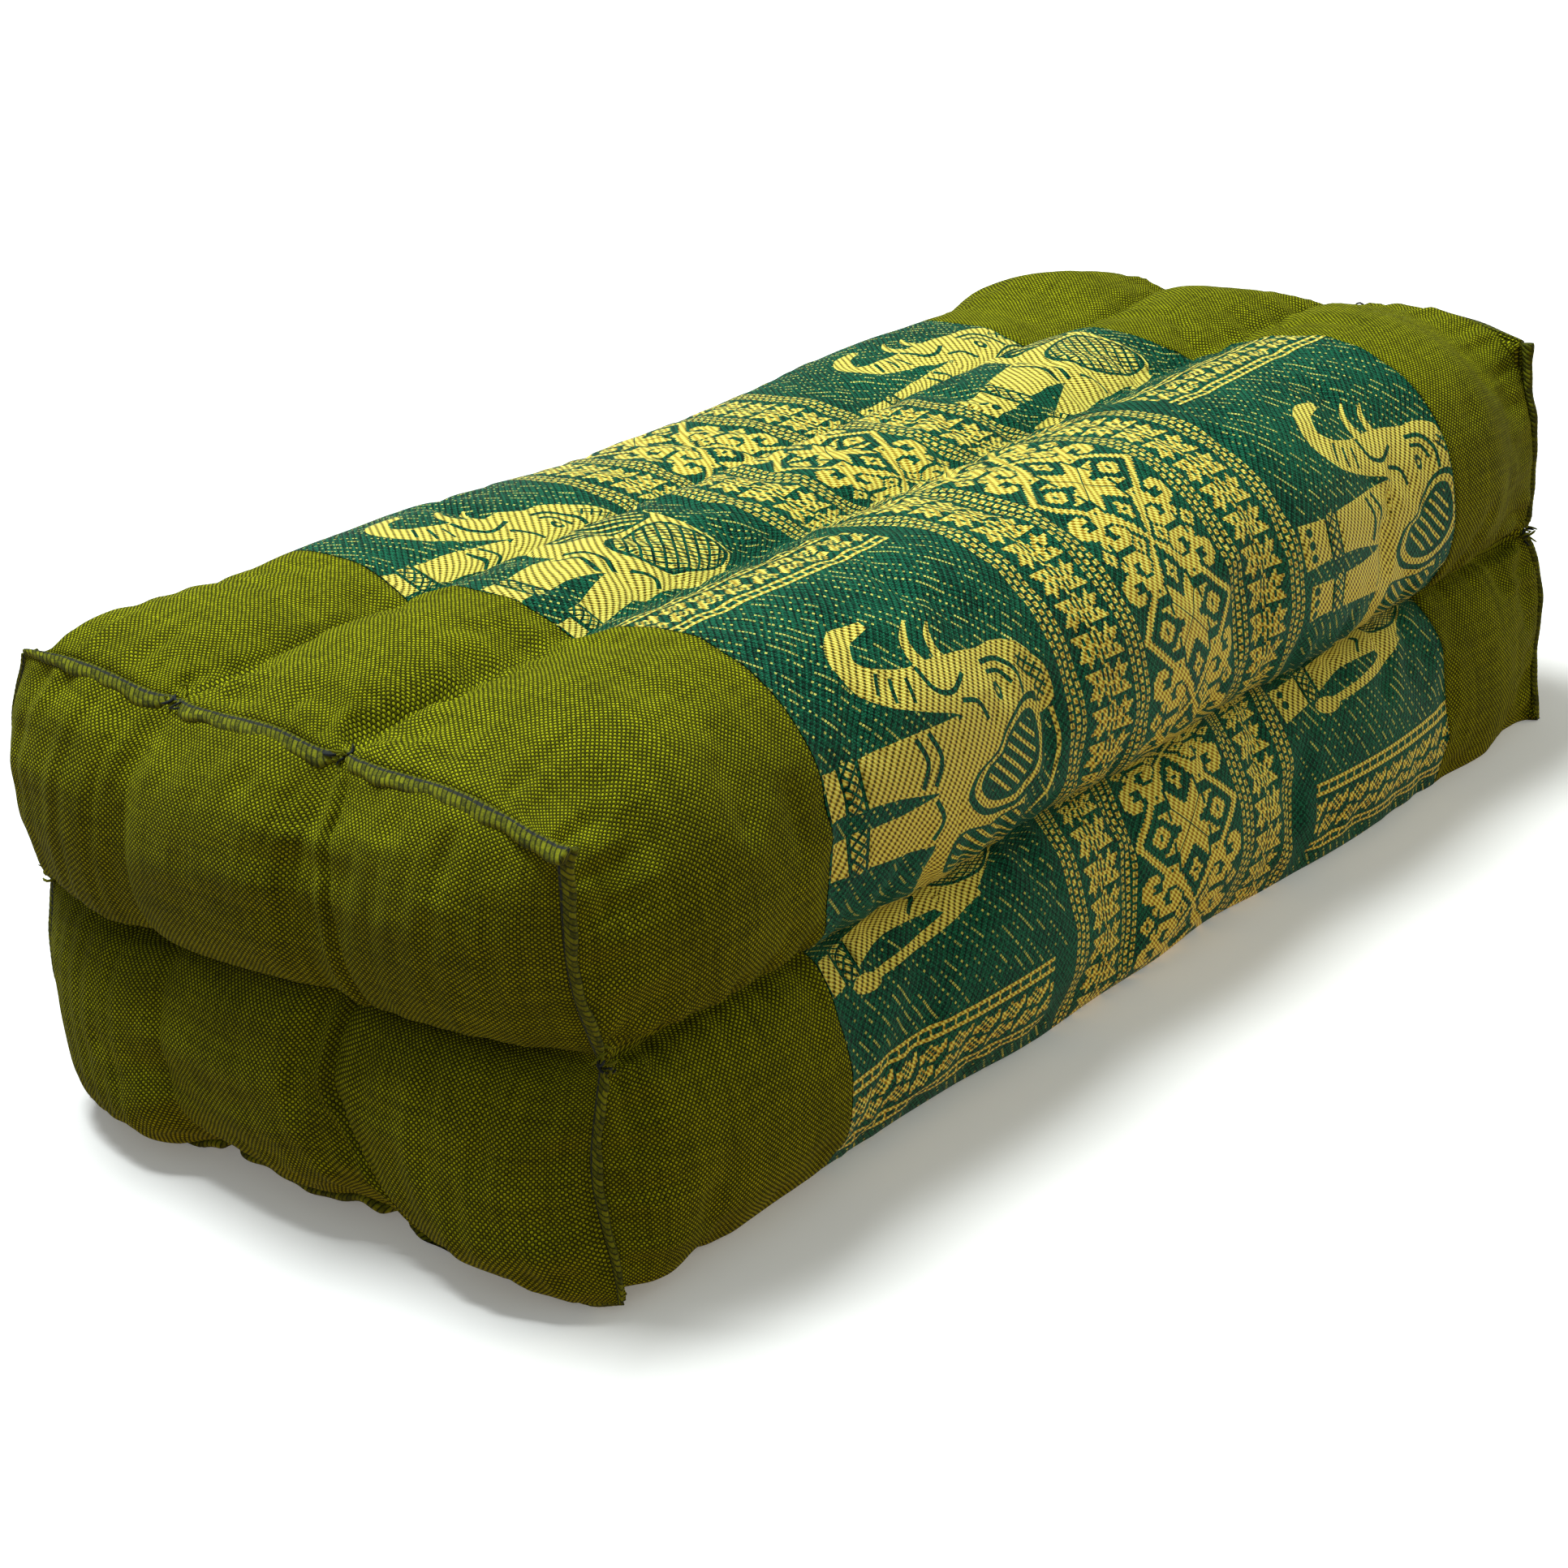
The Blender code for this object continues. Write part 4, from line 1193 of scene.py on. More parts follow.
def run_lengths(points, axis):
    """Distance in millimetres along each line of a grid, from its start."""
    steps = np.linalg.norm(np.diff(points, axis=axis), axis=-1) * 1000
    return np.cumsum(np.insert(steps, 0, 0.0, axis=axis), axis=axis)


GIRTH_LINES, NEAR_LINES, MIDDLE_LINES, FAR_LINES = 344, 42, 44, 36
CAP_ROWS, CAP_COLUMNS, CAP_INSET = 41, 61, 0.0014


def make_cushion():
    around = np.linspace(0, GIRTH, GIRTH_LINES, endpoint=False)
    near_border = border_at(around, NEAR_BORDER)[:, None]
    far_border = border_at(around, FAR_BORDER)[:, None]
    near = mix(-HALF, near_border - GAP, np.linspace(0, 1, NEAR_LINES)[None])
    middle = mix(near_border - GAP + 0.0002, far_border + GAP - 0.0002, np.linspace(0, 1, MIDDLE_LINES)[None])
    far = mix(far_border + GAP, HALF, np.linspace(0, 1, FAR_LINES)[None])
    x = np.concatenate([near, middle, far], 1)
    s = np.broadcast_to(around[:, None], x.shape)
    points = skin(s, x)
    normals = skin_normals(s, x)
    sunk = slice(NEAR_LINES, NEAR_LINES + MIDDLE_LINES)
    unsunk = points.copy()
    points[:, sunk] -= normals[:, sunk] * (CLOTH + GAP)
    flat = points.reshape(-1, 3)
    columns = x.shape[1]
    faces = quads(len(around), columns, wrap=True)
    if not facing_out(flat, faces, normals.reshape(-1, 3)):
        faces = faces[:, ::-1]
    row = faces // columns
    uv_s = around[row]
    wrapped = (row == 0) & (row.max(1, keepdims=True) == len(around) - 1)
    uv_s = np.where(wrapped, GIRTH, uv_s)
    along = run_lengths(unsunk, 1)
    nearer = np.arange(columns)[None] < NEAR_LINES + MIDDLE_LINES // 2
    at_border = np.where(nearer, NEAR_LINES - 1, columns - FAR_LINES)
    along = along - np.take_along_axis(along, np.broadcast_to(at_border, along.shape), 1)
    uv_x = (np.take_along_axis(x, np.broadcast_to(at_border, x.shape), 1) * 1000 + along).ravel()[faces]
    all_faces, uvs, all_points = faces.tolist(), np.stack([uv_s, uv_x], -1).reshape(-1, 2), [flat]
    count = len(flat)
    for end in (NEAR, FAR):
        column = 0 if end == NEAR else columns - 1
        rim = np.arange(len(around)) * columns + column
        a, b = square(np.linspace(0, 1, CAP_COLUMNS), np.linspace(0, 1, CAP_ROWS))
        inner = end_skin(end, a, b) - end_normals(end, a, b) * (CLOTH + GAP)
        inner[:, :, 0] -= end * CAP_INSET
        grid = inner.reshape(-1, 3)
        cap = quads(CAP_ROWS, CAP_COLUMNS)
        if not facing_out(grid, cap, np.tile([end, 0, 0], (len(grid), 1))):
            cap = cap[:, ::-1]
        cap = cap + count
        loop = [count + index for index in rim_indices(CAP_ROWS, CAP_COLUMNS)]
        joined = zip_rings(np.concatenate(all_points + [grid]), list(rim), loop, end)
        all_points.append(grid)
        count += len(grid)
        for group in (cap.tolist(), joined):
            all_faces += group
            stacked = np.concatenate(all_points)
            corners = np.array([index for face in group for index in face])
            uvs = np.concatenate([uvs, stacked[corners][:, [1, 2]] * 1000])
    return mesh_object("filled_cushion", np.concatenate(all_points), all_faces, uvs, COTTON)


def zip_rings(points, outer, inner, end):
    """Triangles between two rings of vertices that run round an end."""
    def angles(ring):
        flat = points[ring]
        return np.arctan2(flat[:, 2] - 0.052, flat[:, 1])

    def turned(ring):
        found = angles(ring)
        start = int(np.argmin(found))
        ring = ring[start:] + ring[:start]
        found = angles(ring)
        if np.sum(np.diff(found) < 0) > len(ring) / 2:
            ring = [ring[0]] + ring[:0:-1]
            found = angles(ring)
        return ring, found

    first, fa = turned(outer)
    second, sa = turned(inner)
    faces = []
    i = j = 0
    while i < len(first) or j < len(second):
        next_a = fa[i + 1] if i + 1 < len(first) else fa[0] + 2 * math.pi
        next_b = sa[j + 1] if j + 1 < len(second) else sa[0] + 2 * math.pi
        a, b = first[i % len(first)], second[j % len(second)]
        if j >= len(second) or (i < len(first) and next_a <= next_b):
            face = (a, first[(i + 1) % len(first)], b)
            i += 1
        else:
            face = (a, second[(j + 1) % len(second)], b)
            j += 1
        faces.append(face if end == FAR else face[::-1])
    return faces


# Lines of an end panel across, closer together at the crisp pleat, and up
PANEL_ACROSS = [(0, 0.225, 31), (0.228, 0.38, 64), (0.387, 1, 84)]
PANEL_UP = 112


def make_end_panel(name, end):
    a = np.concatenate([np.linspace(*run) for run in PANEL_ACROSS])
    a, b = square(a, np.linspace(0, 1, PANEL_UP))
    outer = end_skin(end, a, b)
    inward = -end_normals(end, a, b)
    inward[on_rim(a, b)] = (-end, 0, 0)
    inner = outer + inward * CLOTH
    points = np.concatenate([outer.reshape(-1, 3), inner.reshape(-1, 3)])
    rows, columns = a.shape
    top = quads(rows, columns)
    if not facing_out(points, top, np.tile([end, 0.0, 0.0], (len(points), 1))):
        top = top[:, ::-1]
    under = top[:, ::-1] + rows * columns
    edge = np.array(rim_indices(rows, columns))
    following = np.roll(edge, -1)
    wall = np.stack([edge, following, following + rows * columns, edge + rows * columns], 1)
    if end == NEAR:
        wall = wall[:, ::-1]
    faces = np.concatenate([top, under, wall])
    across = run_lengths(outer, 1).mean(0)[None] + pleat_length(a, b) - pleat_length(a, b).mean(0)[None]
    up = np.broadcast_to(run_lengths(outer, 0).mean(1)[:, None], a.shape)
    flat_uv = np.stack([across, up], -1).reshape(-1, 2)
    uvs = np.concatenate([flat_uv, flat_uv])[faces.ravel()]
    return mesh_object(name, points, faces, uvs, COTTON)


# The patterned panel, whose elephants are cut into its mesh

# Elephant drawn freely from ovals, limbs and loops, walking along u with its soles at v = 0, in millimetres
# Centre, reach, lean in degrees
ELEPHANT_OVALS = [
    ((62, 48), (33, 17.5), 3), ((45, 47), (14.5, 15), 0), ((88, 51), (15, 18), 0),
    ((99, 60), (13.5, 15), -20), ((25.8, 14), (2.0, 4.4), 8),
]
# Value, widths or one width, points: the trunk, the legs, the tail and the tusks, then dark lines on them
ELEPHANT_LIMBS = [
    (GOLD, (20, 13, 9.5, 8, 6.5, 5, 2.2),
     [(103, 57), (108.5, 46), (111, 35), (115, 26), (121.5, 23), (127, 27.5), (127.5, 35)]),
    (GOLD, (15, 11, 9.2, 10.6), [(95, 42), (97.5, 22), (98.2, 8), (98.5, -3)]),
    (GOLD, (13, 9.4, 8, 9), [(83, 40), (83.6, 22), (84.6, 8), (84.8, -1.6)]),
    (GOLD, (18, 12, 9.6, 10.8), [(50, 42), (51, 22), (50, 8), (50.2, -3)]),
    (GOLD, (15, 9.6, 8, 9.4), [(39, 42), (37, 24), (32.4, 9), (31, -3)]),
    (GOLD, (3.6, 2.6, 2.0, 1.8), [(32, 53), (28.4, 41), (26.6, 28), (26, 17)]),
    (GOLD, (4, 3.2, 2.2, 0.6), [(111, 42.4), (116.5, 40.2), (121, 41), (124.6, 44.6)]),
    (GOLD, (3.4, 2.6, 1.8, 0.5), [(111, 48.4), (115.6, 46.6), (119.6, 47.2), (122.2, 49.8)]),
    (GOLD, 1.0, [(93, 75.4), (85, 76.4), (77, 73.4), (70, 67)]),
    (DARK, 1.2, [(115, 38.4), (109.4, 39.8), (107.2, 44.4), (109.6, 50)]),
    (DARK, 1.2, [(109.6, 57), (108.6, 62.4), (104.6, 66), (99.4, 66)]),
    (DARK, 1.0, [(107.2, 57.4), (106, 61.6), (102.6, 63.6)]),
    (DARK, 1.1, [(98.6, 52), (103, 50.4), (104.8, 46)]),
    (DARK, 0.9, [(108.4, 33.2), (113.8, 34.4)]),
    (DARK, 0.9, [(109.8, 29), (115, 31)]),
    (DARK, 0.9, [(112.6, 25.4), (117, 28.4)]),
    (DARK, 1.25, [(91, 32.4), (96, 35.4), (102, 33.4)]),
    (DARK, 1.25, [(91.6, 28.8), (96.4, 31.4), (101.8, 29.6)]),
    (DARK, 1.25, [(79, 32), (83, 34.6), (88, 32.4)]),
    (DARK, 1.25, [(43.6, 31.6), (50.4, 35), (57.4, 32.4)]),
    (DARK, 1.25, [(44.6, 28), (51, 31), (57, 28.6)]),
    (DARK, 1.25, [(33.4, 34), (38, 36.4), (42.4, 34.6)]),
]
# Loops, and the scales and values of their rings from outside in: rump cloth, saddle cloth, ear, cap
ELEPHANT_LOOPS = [
    ([(35, 56), (36.4, 45), (44, 40), (54, 41.6), (57, 50), (56.6, 61), (48, 61.6), (40, 60.4)],
     ((1, DARK), (0.90, NET))),
    ([(60, 62.6), (59.6, 49), (62.6, 40), (70, 38), (77, 40.6), (74.6, 52), (75, 64), (68, 65)],
     ((1, DARK), (0.90, STRIPES))),
    ([(97, 72), (88, 73.6), (80, 69.6), (76, 60), (78, 49), (84, 42.4), (89, 45.4), (91.6, 53), (96, 58),
      (99, 66)],
     ((1, DARK), (0.88, GOLD), (0.74, DARK), (0.60, STRIPES))),
    ([(93, 71.4), (101, 70.6), (107.4, 65.4), (109.4, 69.2), (103, 75), (95, 76.4)],
     ((1, GOLD), (0.72, NET))),
]
# Anklets and toes: middle of each leg above the sole, and its half width
ELEPHANT_ANKLETS = [(98.2, 5.4), (84.4, 4.7), (50, 5.6), (33, 5.0)]
EYE, EYE_RING, EYE_DOT = (102.6, 58.6), 2.0, 0.8


def smooth_loop(points, steps=4):
    """Closed curve through points."""
    points = np.asarray(points, float)
    found = []
    for step in range(steps):
        w = cubic_weights(np.array(step / steps))
        found.append(sum(np.roll(points, 1 - k, 0) * w[k] for k in range(4)))
    return np.stack(found, 1).reshape(-1, 2)


def strip(points, width):
    """Outline of a line along points, as wide as width says, at each point or all along."""
    points = np.asarray(points, float)
    along = np.gradient(points, axis=0)
    side = np.stack([-along[:, 1], along[:, 0]], 1)
    side *= np.asarray(width)[..., None] / 2 / np.linalg.norm(side, axis=1, keepdims=True)
    return np.concatenate([points + side, (points - side)[::-1]])


def limb(points, widths, steps=4):
    """Outline of a limb along a smooth curve through points, with a width at each, or one for all."""
    points, widths = np.asarray(points, float), np.broadcast_to(widths, len(points))
    padded = np.concatenate([[2 * points[0] - points[1]], points, [2 * points[-1] - points[-2]]])
    at = np.linspace(0, len(points) - 1, (len(points) - 1) * steps + 1)
    first = np.minimum(at.astype(int), len(points) - 2)
    weights = cubic_weights(at - first)
    line = sum(padded[first + k] * weights[k][:, None] for k in range(4))
    return strip(line, np.interp(at, np.arange(len(points)), widths))


def oval(centre, reach, lean=0.0, count=24):
    turn = np.linspace(0, 2 * np.pi, count, endpoint=False)
    u, v = reach[0] * np.cos(turn), reach[1] * np.sin(turn)
    lean = math.radians(lean)
    return np.stack([
        centre[0] + u * math.cos(lean) - v * math.sin(lean),
        centre[1] + u * math.sin(lean) + v * math.cos(lean),
    ], 1)


def elephant_shapes():
    """Outlines to paint in order, each with its value."""
    shapes = [(oval(*row), GOLD) for row in ELEPHANT_OVALS]
    shapes += [(limb(points, widths), value) for value, widths, points in ELEPHANT_LIMBS]
    for points, rings in ELEPHANT_LOOPS:
        outline = smooth_loop(points, 3)
        middle = outline.mean(0)
        shapes += [(middle + (outline - middle) * scale, value) for scale, value in rings]
    for u, half in ELEPHANT_ANKLETS:
        for low, high, value in ((7.8, 13.6, DARK), (8.8, 12.6, NET)):
            corners = [(u - half, low), (u + half, low), (u + half, high), (u - half, high)]
            shapes.append((np.array(corners), value))
        shapes += [(oval((u + toe, 0.4), (1.1, 1.3), count=8), DARK) for toe in (-2.8, 0.2, 3.2)]
    shapes.append((oval(EYE, (EYE_RING, 0.8 * EYE_RING), count=12), DARK))
    shapes.append((oval(EYE, (EYE_DOT, EYE_DOT), count=8), GOLD))
    return [(outline * (1.0, ELEPHANT_LENGTH), value) for outline, value in shapes]


def inside(outline, points):
    x, y = points[:, 0][:, None], points[:, 1][:, None]
    ax, ay = outline[:, 0][None], outline[:, 1][None]
    bx, by = np.roll(ax, -1, 1), np.roll(ay, -1, 1)
    crosses = (ay > y) != (by > y)
    at = ax + (y - ay) * (bx - ax) / np.where(by == ay, 1, by - ay)
    return (np.sum(crosses & (x < at), 1) % 2).astype(bool)


# Cells of the patterned panel's grid round the girth and along
PANEL_CELLS = (268, 117)


def make_patterned_panel():
    lines_s, lines_x = PANEL_CELLS
    s_lines = np.interp(np.linspace(LAY_AROUND[0], LAY_AROUND[-1], lines_s + 1), LAY_AROUND, LAY_WOVEN)
    x_lines = np.linspace(NEAR_BORDER, FAR_BORDER, lines_x + 1) * 1000
    columns = lines_x + 1
    flat = [(s, x) for s in s_lines for x in x_lines]
    zone_near = int(np.searchsorted(x_lines, BAND_CENTRE - BAND_HALF - 0.2))
    zone_far = int(np.searchsorted(x_lines, BAND_CENTRE + BAND_HALF + 0.2)) - 1
    band = quads(lines_s + 1, columns).reshape(lines_s, lines_x, 4)[:, zone_near:zone_far]
    faces = [tuple(face) for face in band.reshape(-1, 4).tolist()]
    figure = [0.0] * len(faces)
    for feet, low, high in ((ELEPHANT_FEET[0], 0, zone_near), (ELEPHANT_FEET[1], zone_far, lines_x)):
        zone_faces, zone_values, extra = cut_zone(s_lines, x_lines, columns, low, high, feet, len(flat))
        flat += extra
        faces += zone_faces
        figure += zone_values
    flat = np.array(flat)
    outer_count = len(flat)
    geometry = np.arange(outer_count)
    grid = lines_s * columns
    geometry[grid:grid + columns] = np.arange(columns)
    s, x = on_skin(flat[:, 0], flat[:, 1])
    x = x / 1000
    outer = skin(s, x)
    normals = skin_normals(s, x)
    points = np.concatenate([outer, outer[:grid] - normals[:grid] * CLOTH])
    turned = facing_out(points, np.array([faces[0]]), normals)
    faces = [face if turned else face[::-1] for face in faces]
    outer_faces = [[geometry[v] for v in face] for face in faces]
    uvs = [flat[v] for face in faces for v in face]
    under = quads(lines_s, columns, wrap=True)[:, ::-1 if turned else 1]
    inner_faces = (under + outer_count).tolist()
    inner_uvs = list(flat[under.ravel()])
    walls = []
    for i in range(lines_s):
        for column in (0, lines_x):
            a, b = i * columns + column, ((i + 1) % lines_s) * columns + column
            face = (a, b, outer_count + b, outer_count + a)
            if (column == 0) == bool(turned):
                face = face[::-1]
            walls.append(face)
            inner_uvs += [flat[v % outer_count] for v in face]
    all_faces = outer_faces + inner_faces + walls
    values = figure + [0.0] * (len(inner_faces) + len(walls))
    used = np.zeros(len(points), bool)
    used[np.concatenate([np.asarray(face) for face in all_faces])] = True
    renumber = np.cumsum(used) - 1
    all_faces = [[renumber[v] for v in face] for face in all_faces]
    return mesh_object("brocade_panel", points[used], all_faces, uvs + inner_uvs, BROCADE, {"figure": values})


# How far a cut stays inside its zone, and the squared distance it keeps from a grid point, in millimetres
CUT_MARGIN, CUT_CLEARANCE = 0.4, 0.36


def cut_zone(s_lines, x_lines, columns, low, high, feet, next_index):
    """Triangles of one elephant zone, its outlines cut in. Returns faces, values and new flat points."""
    placed = []
    for cell in range(-1, 4):
        start = DIVIDER + cell * DIVIDER_PITCH
        for outline, value in elephant_shapes():
            shape = np.stack([outline[:, 0] + start, outline[:, 1] + feet], 1)
            if shape[:, 0].max() < s_lines[0] + 1 or shape[:, 0].min() > s_lines[-1] - 1:
                continue
            if shape[:, 1].max() < x_lines[low] + 1 or shape[:, 1].min() > x_lines[high] - 1:
                continue
            shape[:, 0] = np.clip(shape[:, 0], s_lines[0] + CUT_MARGIN, s_lines[-1] - CUT_MARGIN)
            shape[:, 1] = np.clip(shape[:, 1], x_lines[low] + CUT_MARGIN, x_lines[high] - CUT_MARGIN)
            placed.append((shape, value))
    cuts = np.concatenate([shape for shape, value in placed])
    inputs, numbers = [], []
    cell_of = {}
    for p in cuts:
        cell_of.setdefault((int(p[0] // 1), int(p[1] // 1)), []).append(p)
    for i, s in enumerate(s_lines):
        for j in range(low, high + 1):
            border = i in (0, len(s_lines) - 1) or j in (low, high)
            if not border:
                row, column = int(s // 1), int(x_lines[j] // 1)
                cells = [(row + di, column + dj) for di in (-1, 0, 1) for dj in (-1, 0, 1)]
                near = [q for cell in cells for q in cell_of.get(cell, ())]
                if near and min((q[0] - s) ** 2 + (q[1] - x_lines[j]) ** 2 for q in near) < CUT_CLEARANCE:
                    continue
            inputs.append(Vector((s, x_lines[j])))
            numbers.append(i * columns + j)
    by_number = {number: index for index, number in enumerate(numbers)}
    edges = []
    for i in range(len(s_lines) - 1):
        for j in (low, high):
            edges.append((by_number[i * columns + j], by_number[(i + 1) * columns + j]))
    for j in range(low, high):
        for i in (0, len(s_lines) - 1):
            edges.append((by_number[i * columns + j], by_number[i * columns + j + 1]))
    for shape, value in placed:
        first = len(inputs)
        inputs += [Vector(p) for p in shape]
        edges += [(first + k, first + (k + 1) % len(shape)) for k in range(len(shape))]
    found, _, found_faces, from_verts, _, _ = delaunay_2d_cdt(inputs, edges, [], 0, 1e-5, True)
    coords = np.array([(v.x, v.y) for v in found])
    known = len(numbers)
    index_of, extra = {}, []
    for k, sources in enumerate(from_verts):
        grid = [numbers[source] for source in sources if source < known]
        if grid:
            index_of[k] = grid[0]
    centre = np.array([coords[list(face)].mean(0) for face in found_faces])
    keep = (centre[:, 0] > s_lines[0]) & (centre[:, 0] < s_lines[-1])
    keep &= (centre[:, 1] > x_lines[low]) & (centre[:, 1] < x_lines[high])
    values = np.zeros(len(centre))
    for shape, value in placed:
        close = (centre[:, 0] > shape[:, 0].min()) & (centre[:, 0] < shape[:, 0].max())
        close &= (centre[:, 1] > shape[:, 1].min()) & (centre[:, 1] < shape[:, 1].max()) & keep
        picked = np.flatnonzero(close)
        if len(picked):
            hit = picked[inside(shape, centre[picked])]
            values[hit] = value
    faces, kept_values = [], []
    for k in np.flatnonzero(keep):
        face = []
        for v in found_faces[k]:
            if v not in index_of:
                index_of[v] = next_index + len(extra)
                extra.append((coords[v][0], coords[v][1]))
            face.append(index_of[v])
        p = coords[list(found_faces[k])]
        turn = (p[1] - p[0])[0] * (p[2] - p[0])[1] - (p[1] - p[0])[1] * (p[2] - p[0])[0]
        faces.append(tuple(face) if turn < 0 else tuple(face[::-1]))
        kept_values.append(float(values[k]))
    return faces, kept_values, extra


# Overlocked seam edges

def edge_runs():
    runs = []
    for chamber, name in enumerate(CHAMBER_NAMES):
        if chamber in (2, 5):
            runs.append((name, chamber, 0.0, 1.0))
        else:
            runs.append((name + "_a", chamber, 0.0, 0.5))
            runs.append((name + "_b", chamber, 0.5, 1.0))
    return runs


def lie_of(chamber, share, end):
    """Which way the strip of a seam edge lies, out from its seam."""
    on_side = share < 0.5 if chamber in (1, 4) else share > 0.5
    if chamber in (0, 1, 3, 4) and on_side:
        return np.array([end * -0.33, -0.94 if chamber in (0, 1) else 0.94, 0.0]), "side"
    if chamber in (1, 2, 3):
        return np.array([end * 0.80, 0.0, -0.60]), "top"
    return np.array([end * 0.93, 0.0, -0.36]), "bottom"


def thread_tube(points, radius, sides=5):
    """Vertices and faces of a thin closed thread along points."""
    points = np.asarray(points, float)
    along = unit(np.gradient(points, axis=0))
    first = unit(np.cross(along, (0.31, 0.52, 0.79)))
    second = np.cross(along, first)
    thin = np.ones(len(points))
    thin[0] = thin[-1] = 0.45
    rings = []
    for turn in np.linspace(0, 2 * np.pi, sides, endpoint=False):
        rings.append(points + (first * math.cos(turn) + second * math.sin(turn)) * radius * thin[:, None])
    vertices = np.stack(rings, 1).reshape(-1, 3)
    faces = quads(len(points), sides, rings=True).tolist()
    faces += [list(range(sides))[::-1], [(len(points) - 1) * sides + c for c in range(sides)]]
    return vertices, faces


def tuft(centre, lie, up, size, count, seed):
    """Short thread ends that curl out of a break in a seam edge."""
    random = np.random.default_rng(seed)
    threads = []
    for _ in range(count):
        way = lie * random.uniform(0.2, 0.9) + up * random.uniform(-0.2, 0.9) + random.normal(0, 0.45, 3)
        way /= np.linalg.norm(way)
        curl = np.cross(way, random.normal(0, 1, 3))
        t = np.linspace(0, 1, 6)[:, None]
        start = centre + random.normal(0, 0.0005, 3)
        points = start + way * t * size * random.uniform(0.6, 1.0) + curl * (t * (1 - t)) * size * 0.8
        threads.append(thread_tube(points, random.uniform(0.00022, 0.00036)))
    return threads


# Points along a run and round an edge, its step, half a break, the gap at a corner, and lengths out of reach
EDGE_POINTS, EDGE_SIDES, EDGE_STEP, HALF_BREAK, CORNER_GAP = 240, 16, 0.55, 500 * EDGE_BREAK, 0.15
NO_BREAK, NO_CORNER = 99.0, 40.0
TAB_POINTS, EDGE_LIFT = 9, 0.0003


def edge_line(end, run):
    """Millimetres along an edge, its root there, and how far a break and a corner are."""
    name, chamber, first, last = run
    share = np.clip(np.linspace(first, last, EDGE_POINTS), 1e-5, 1 - 1e-5)
    line = skin(around_at(chamber, share), np.full(EDGE_POINTS, end * HALF))
    distance = np.concatenate([[0], np.cumsum(np.linalg.norm(np.diff(line, axis=0), axis=1))]) * 1000
    low = HALF_BREAK if first == 0.0 else CORNER_GAP
    high = distance[-1] - (HALF_BREAK if last == 1.0 else CORNER_GAP)
    at = np.linspace(low, high, int((high - low) / EDGE_STEP))
    root = np.stack([np.interp(at, distance, line[:, k]) for k in range(3)], 1)
    from_break = np.minimum(at - low if first == 0.0 else NO_BREAK, high - at if last == 1.0 else NO_BREAK)
    from_corner = at - low if first == 0.5 else (high - at if last == 0.5 else np.full(len(at), NO_CORNER))
    if end == NEAR and name == "front_up_b":
        # A short tab of edging stands out of this corner
        extra = np.linspace(3.2, 0.4, TAB_POINTS)
        root = np.concatenate([root[0] + np.array([0.0, -1.0, 0.05]) * extra[:, None] / 1000, root])
        at = np.concatenate([at[0] - extra, at])
        from_break = np.concatenate([np.full(TAB_POINTS, NO_CORNER), from_break])
        from_corner = np.concatenate([np.zeros(TAB_POINTS), from_corner])
    return at, root, from_break, from_corner


def edge_width(name, kind, at, from_break, from_corner, phase):
    """Uneven width of an edge, which narrows at its breaks and changes towards the corners."""
    width = EDGE_WIDTH * (0.97 + 0.09 * np.sin(at / 3.4 + phase[0]) + 0.06 * np.sin(at / 1.5 + phase[1]))
    width = width * (0.55 + 0.45 * ease(from_break / 3.5))
    if kind == "side":
        width = width * (0.66 + (0.55 if name == "front_up_a" else 0.0) * np.exp(-from_corner / 14))
    if kind == "bottom":
        width = width * (1 - 0.8 * np.exp(-from_corner / 14))
    if name in ("front_low_b", "back_up_a", "back_up_b"):
        width = width * (1 - 0.65 * np.exp(-from_corner / 9))
    return width


def edge_directions(root, lie, tilt, above):
    """Unit vectors out along the strip and up from it, at each point of its root."""
    tangent = unit(np.gradient(root, axis=0))
    out = unit(lie - tangent * (tangent @ lie)[:, None])
    up = np.cross(out, tangent)
    if np.dot(up[len(root) // 2], above) < 0:
        up = -up
    cos, sin = np.cos(tilt)[:, None], np.sin(tilt)[:, None]
    return out * cos + up * sin, up * cos - out * sin


def edge_tube(at, root, out, up, width):
    """Points, faces and cloth coordinates of an edge, with a ring of points at each place on its root."""
    turns = np.linspace(0, 2 * np.pi, EDGE_SIDES, endpoint=False)
    ring = []
    for turn in turns:
        reach = 0.5 * (1 + math.cos(turn))
        thick = (0.35 + 0.65 * reach ** 0.8) * EDGE_THICKNESS * 0.62 * math.sin(turn)
        lumps = 1 + 0.06 * np.sin(at * 2 * np.pi / 1.44) * reach
        ring.append(root + out * (width * reach - 0.0007)[:, None] + up * (thick * lumps + 0.0001)[:, None])
    points = np.stack(ring, 1).reshape(-1, 3)
    points[:, 2] = np.maximum(points[:, 2], EDGE_LIFT)
    faces = quads(len(at), EDGE_SIDES, rings=True)
    centre = root[0] + out[0] * width[0] * 0.5
    corners = points[faces[0]]
    flip = np.dot(np.cross(corners[1] - corners[0], corners[2] - corners[0]), corners.mean(0) - centre) < 0
    faces = (faces[:, ::-1] if flip else faces).tolist()
    for start, reverse in ((0, not flip), ((len(at) - 1) * EDGE_SIDES, flip)):
        cap = [start + c for c in range(EDGE_SIDES)]
        faces.append(cap[::-1] if reverse else cap)
    across = 0.5 * (1 + np.cos(turns)) * EDGE_WIDTH * 1000
    across = np.where(np.sin(turns) >= -1e-9, across, -across)
    return points, faces, np.stack([np.repeat(at, EDGE_SIDES), np.tile(across, len(at))], 1)


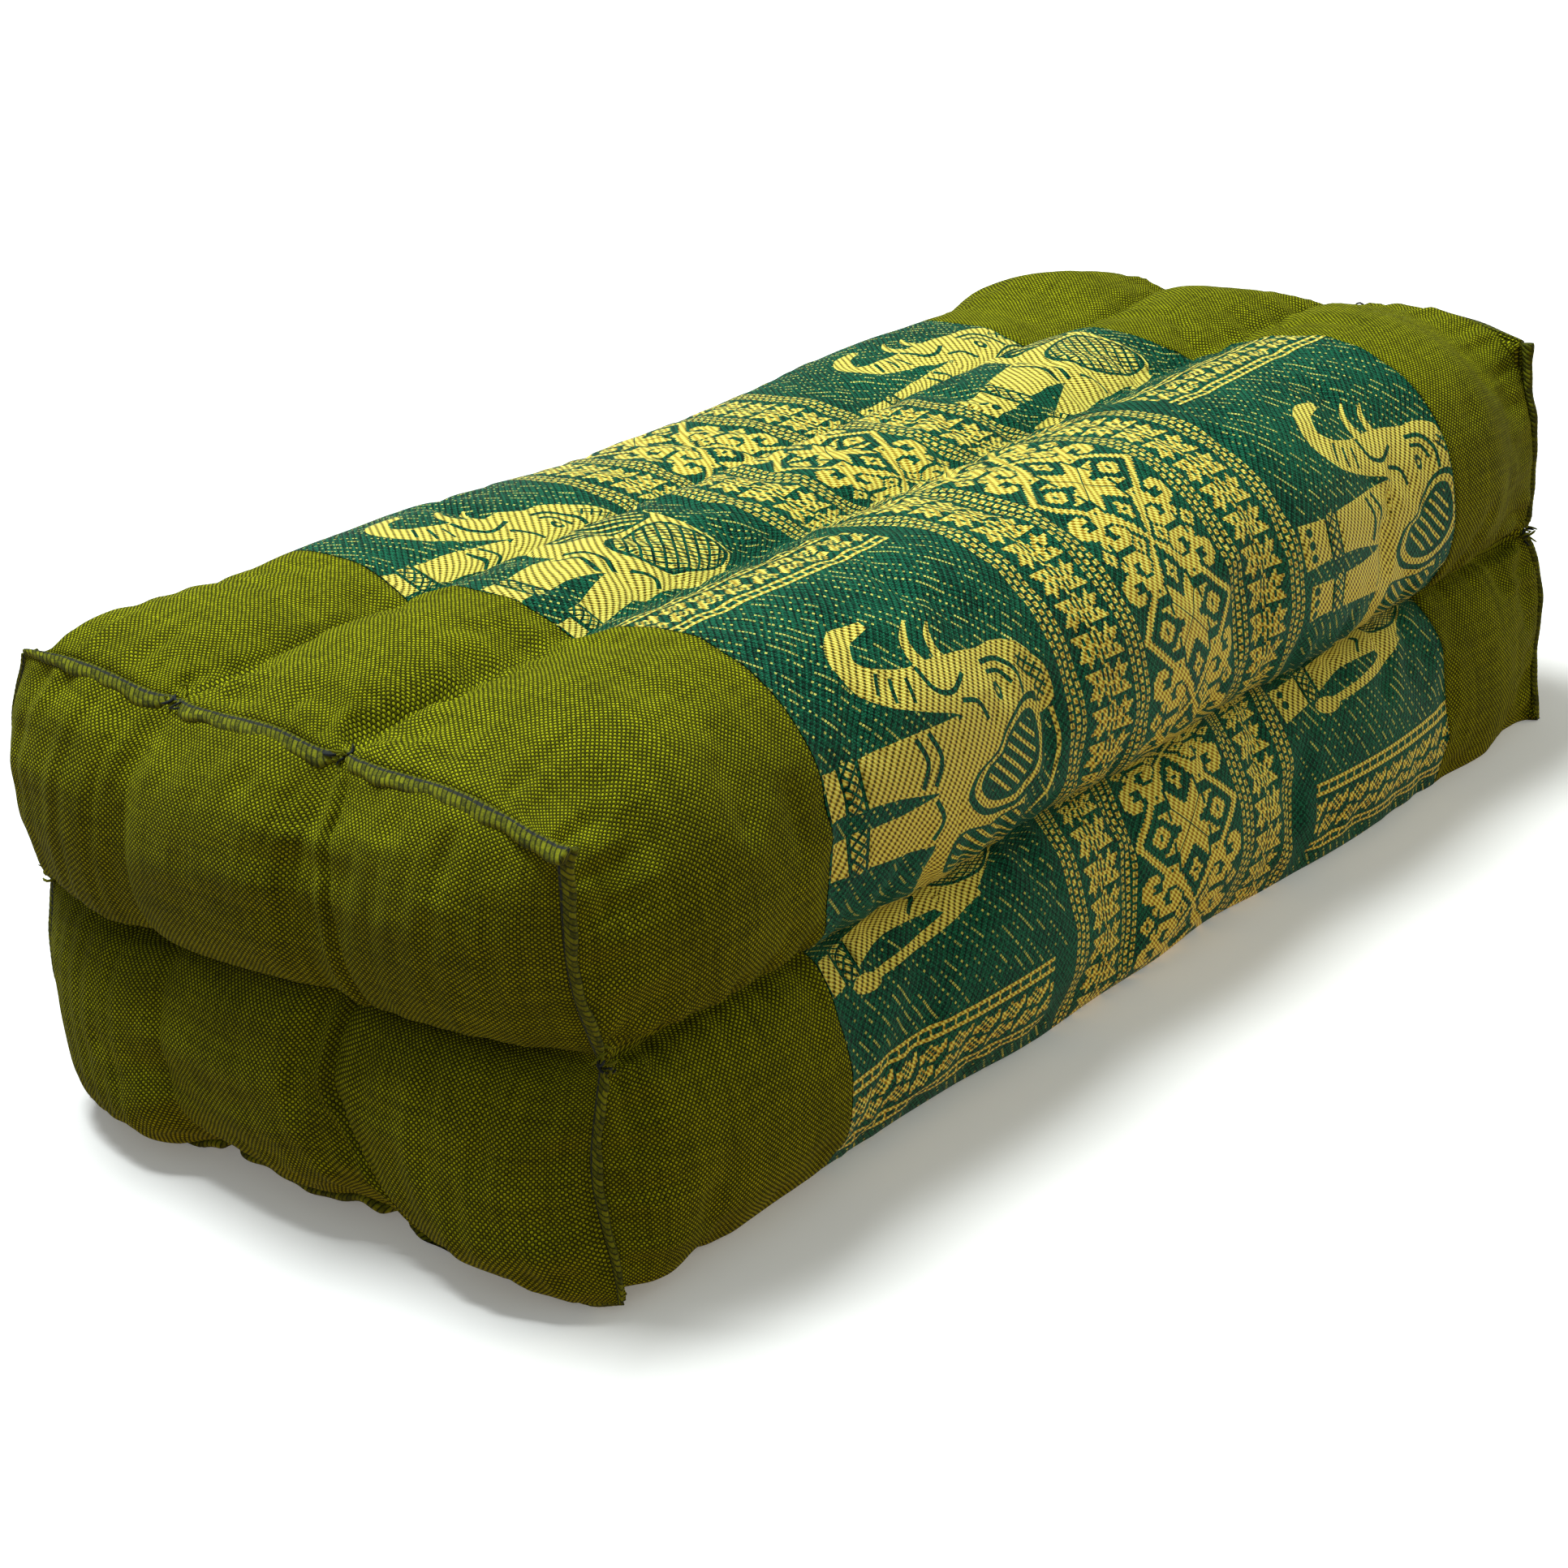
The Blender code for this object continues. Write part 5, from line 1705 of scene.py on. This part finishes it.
def make_seam_edge(end, run):
    name, chamber, first, last = run
    label = "near" if end == NEAR else "far"
    lie, kind = lie_of(chamber, 0.5 * (first + last), end)
    at, root, from_break, from_corner = edge_line(end, run)
    seed = 17 * chamber + (3 if first else 0) + (101 if end == FAR else 0)
    phase = np.random.default_rng(seed).uniform(0, 2 * np.pi, 4)
    width = edge_width(name, kind, at, from_break, from_corner, phase)
    tilt = 0.12 * np.sin(at / 6.1 + phase[2]) + 0.06 * np.sin(at / 2.4 + phase[3])
    tilt = tilt - 0.4 * np.exp(-from_break / 2.0)
    above = (end, 0.0, 0.0) if kind == "side" else (0.0, 0.0, 1.0)
    out, up = edge_directions(root, lie, tilt, above)
    points, all_faces, uv = edge_tube(at, root, out, up, width)
    all_points, all_uv = [points], [uv]
    total = len(points)
    threads, navy = [], []
    if first == 0.0 and kind != "bottom":
        threads += tuft(root[0], out[0], up[0], 0.0038, 7, seed + 5)
        navy += [0.0, 1.0, 0.0, 0.0, 1.0, 0.0, 0.0]
    if last == 1.0 and kind != "bottom":
        threads += tuft(root[-1], out[-1], up[-1], 0.0036, 6, seed + 6)
        navy += [0.0, 0.0, 1.0, 0.0, 0.0, 1.0]
    values = [0.0] * len(all_faces)
    for (vertices, found), dark in zip(threads, navy):
        vertices[:, 2] = np.maximum(vertices[:, 2], EDGE_LIFT)
        all_faces += [[total + v for v in face] for face in found]
        values += [dark] * len(found)
        all_uv.append(np.stack([np.full(len(vertices), 3.0), np.full(len(vertices), 2.6)], 1))
        all_points.append(vertices)
        total += len(vertices)
    stacked = np.concatenate(all_uv)
    uvs = np.concatenate([stacked[face] for face in all_faces])
    stacked = np.concatenate(all_points)
    obj = mesh_object(f"overlock_{label}_{name}", stacked, all_faces, uvs, EDGING, {"navy": values})
    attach(obj, "root")
    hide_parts(f"seam_edge_{label}_{name}")


def build():
    make_camera()
    make_stage()
    simulate()
    cushion = make_cushion()
    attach(cushion, "root")
    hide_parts("cushion_body")
    panel = make_patterned_panel()
    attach(panel, "root")
    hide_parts("patterned_panel")
    for end, label in ((NEAR, "near"), (FAR, "far")):
        piece = make_end_panel(f"end_cloth_{label}", end)
        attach(piece, "root")
        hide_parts(f"end_panel_{label}")
        for run in edge_runs():
            make_seam_edge(end, run)


build()
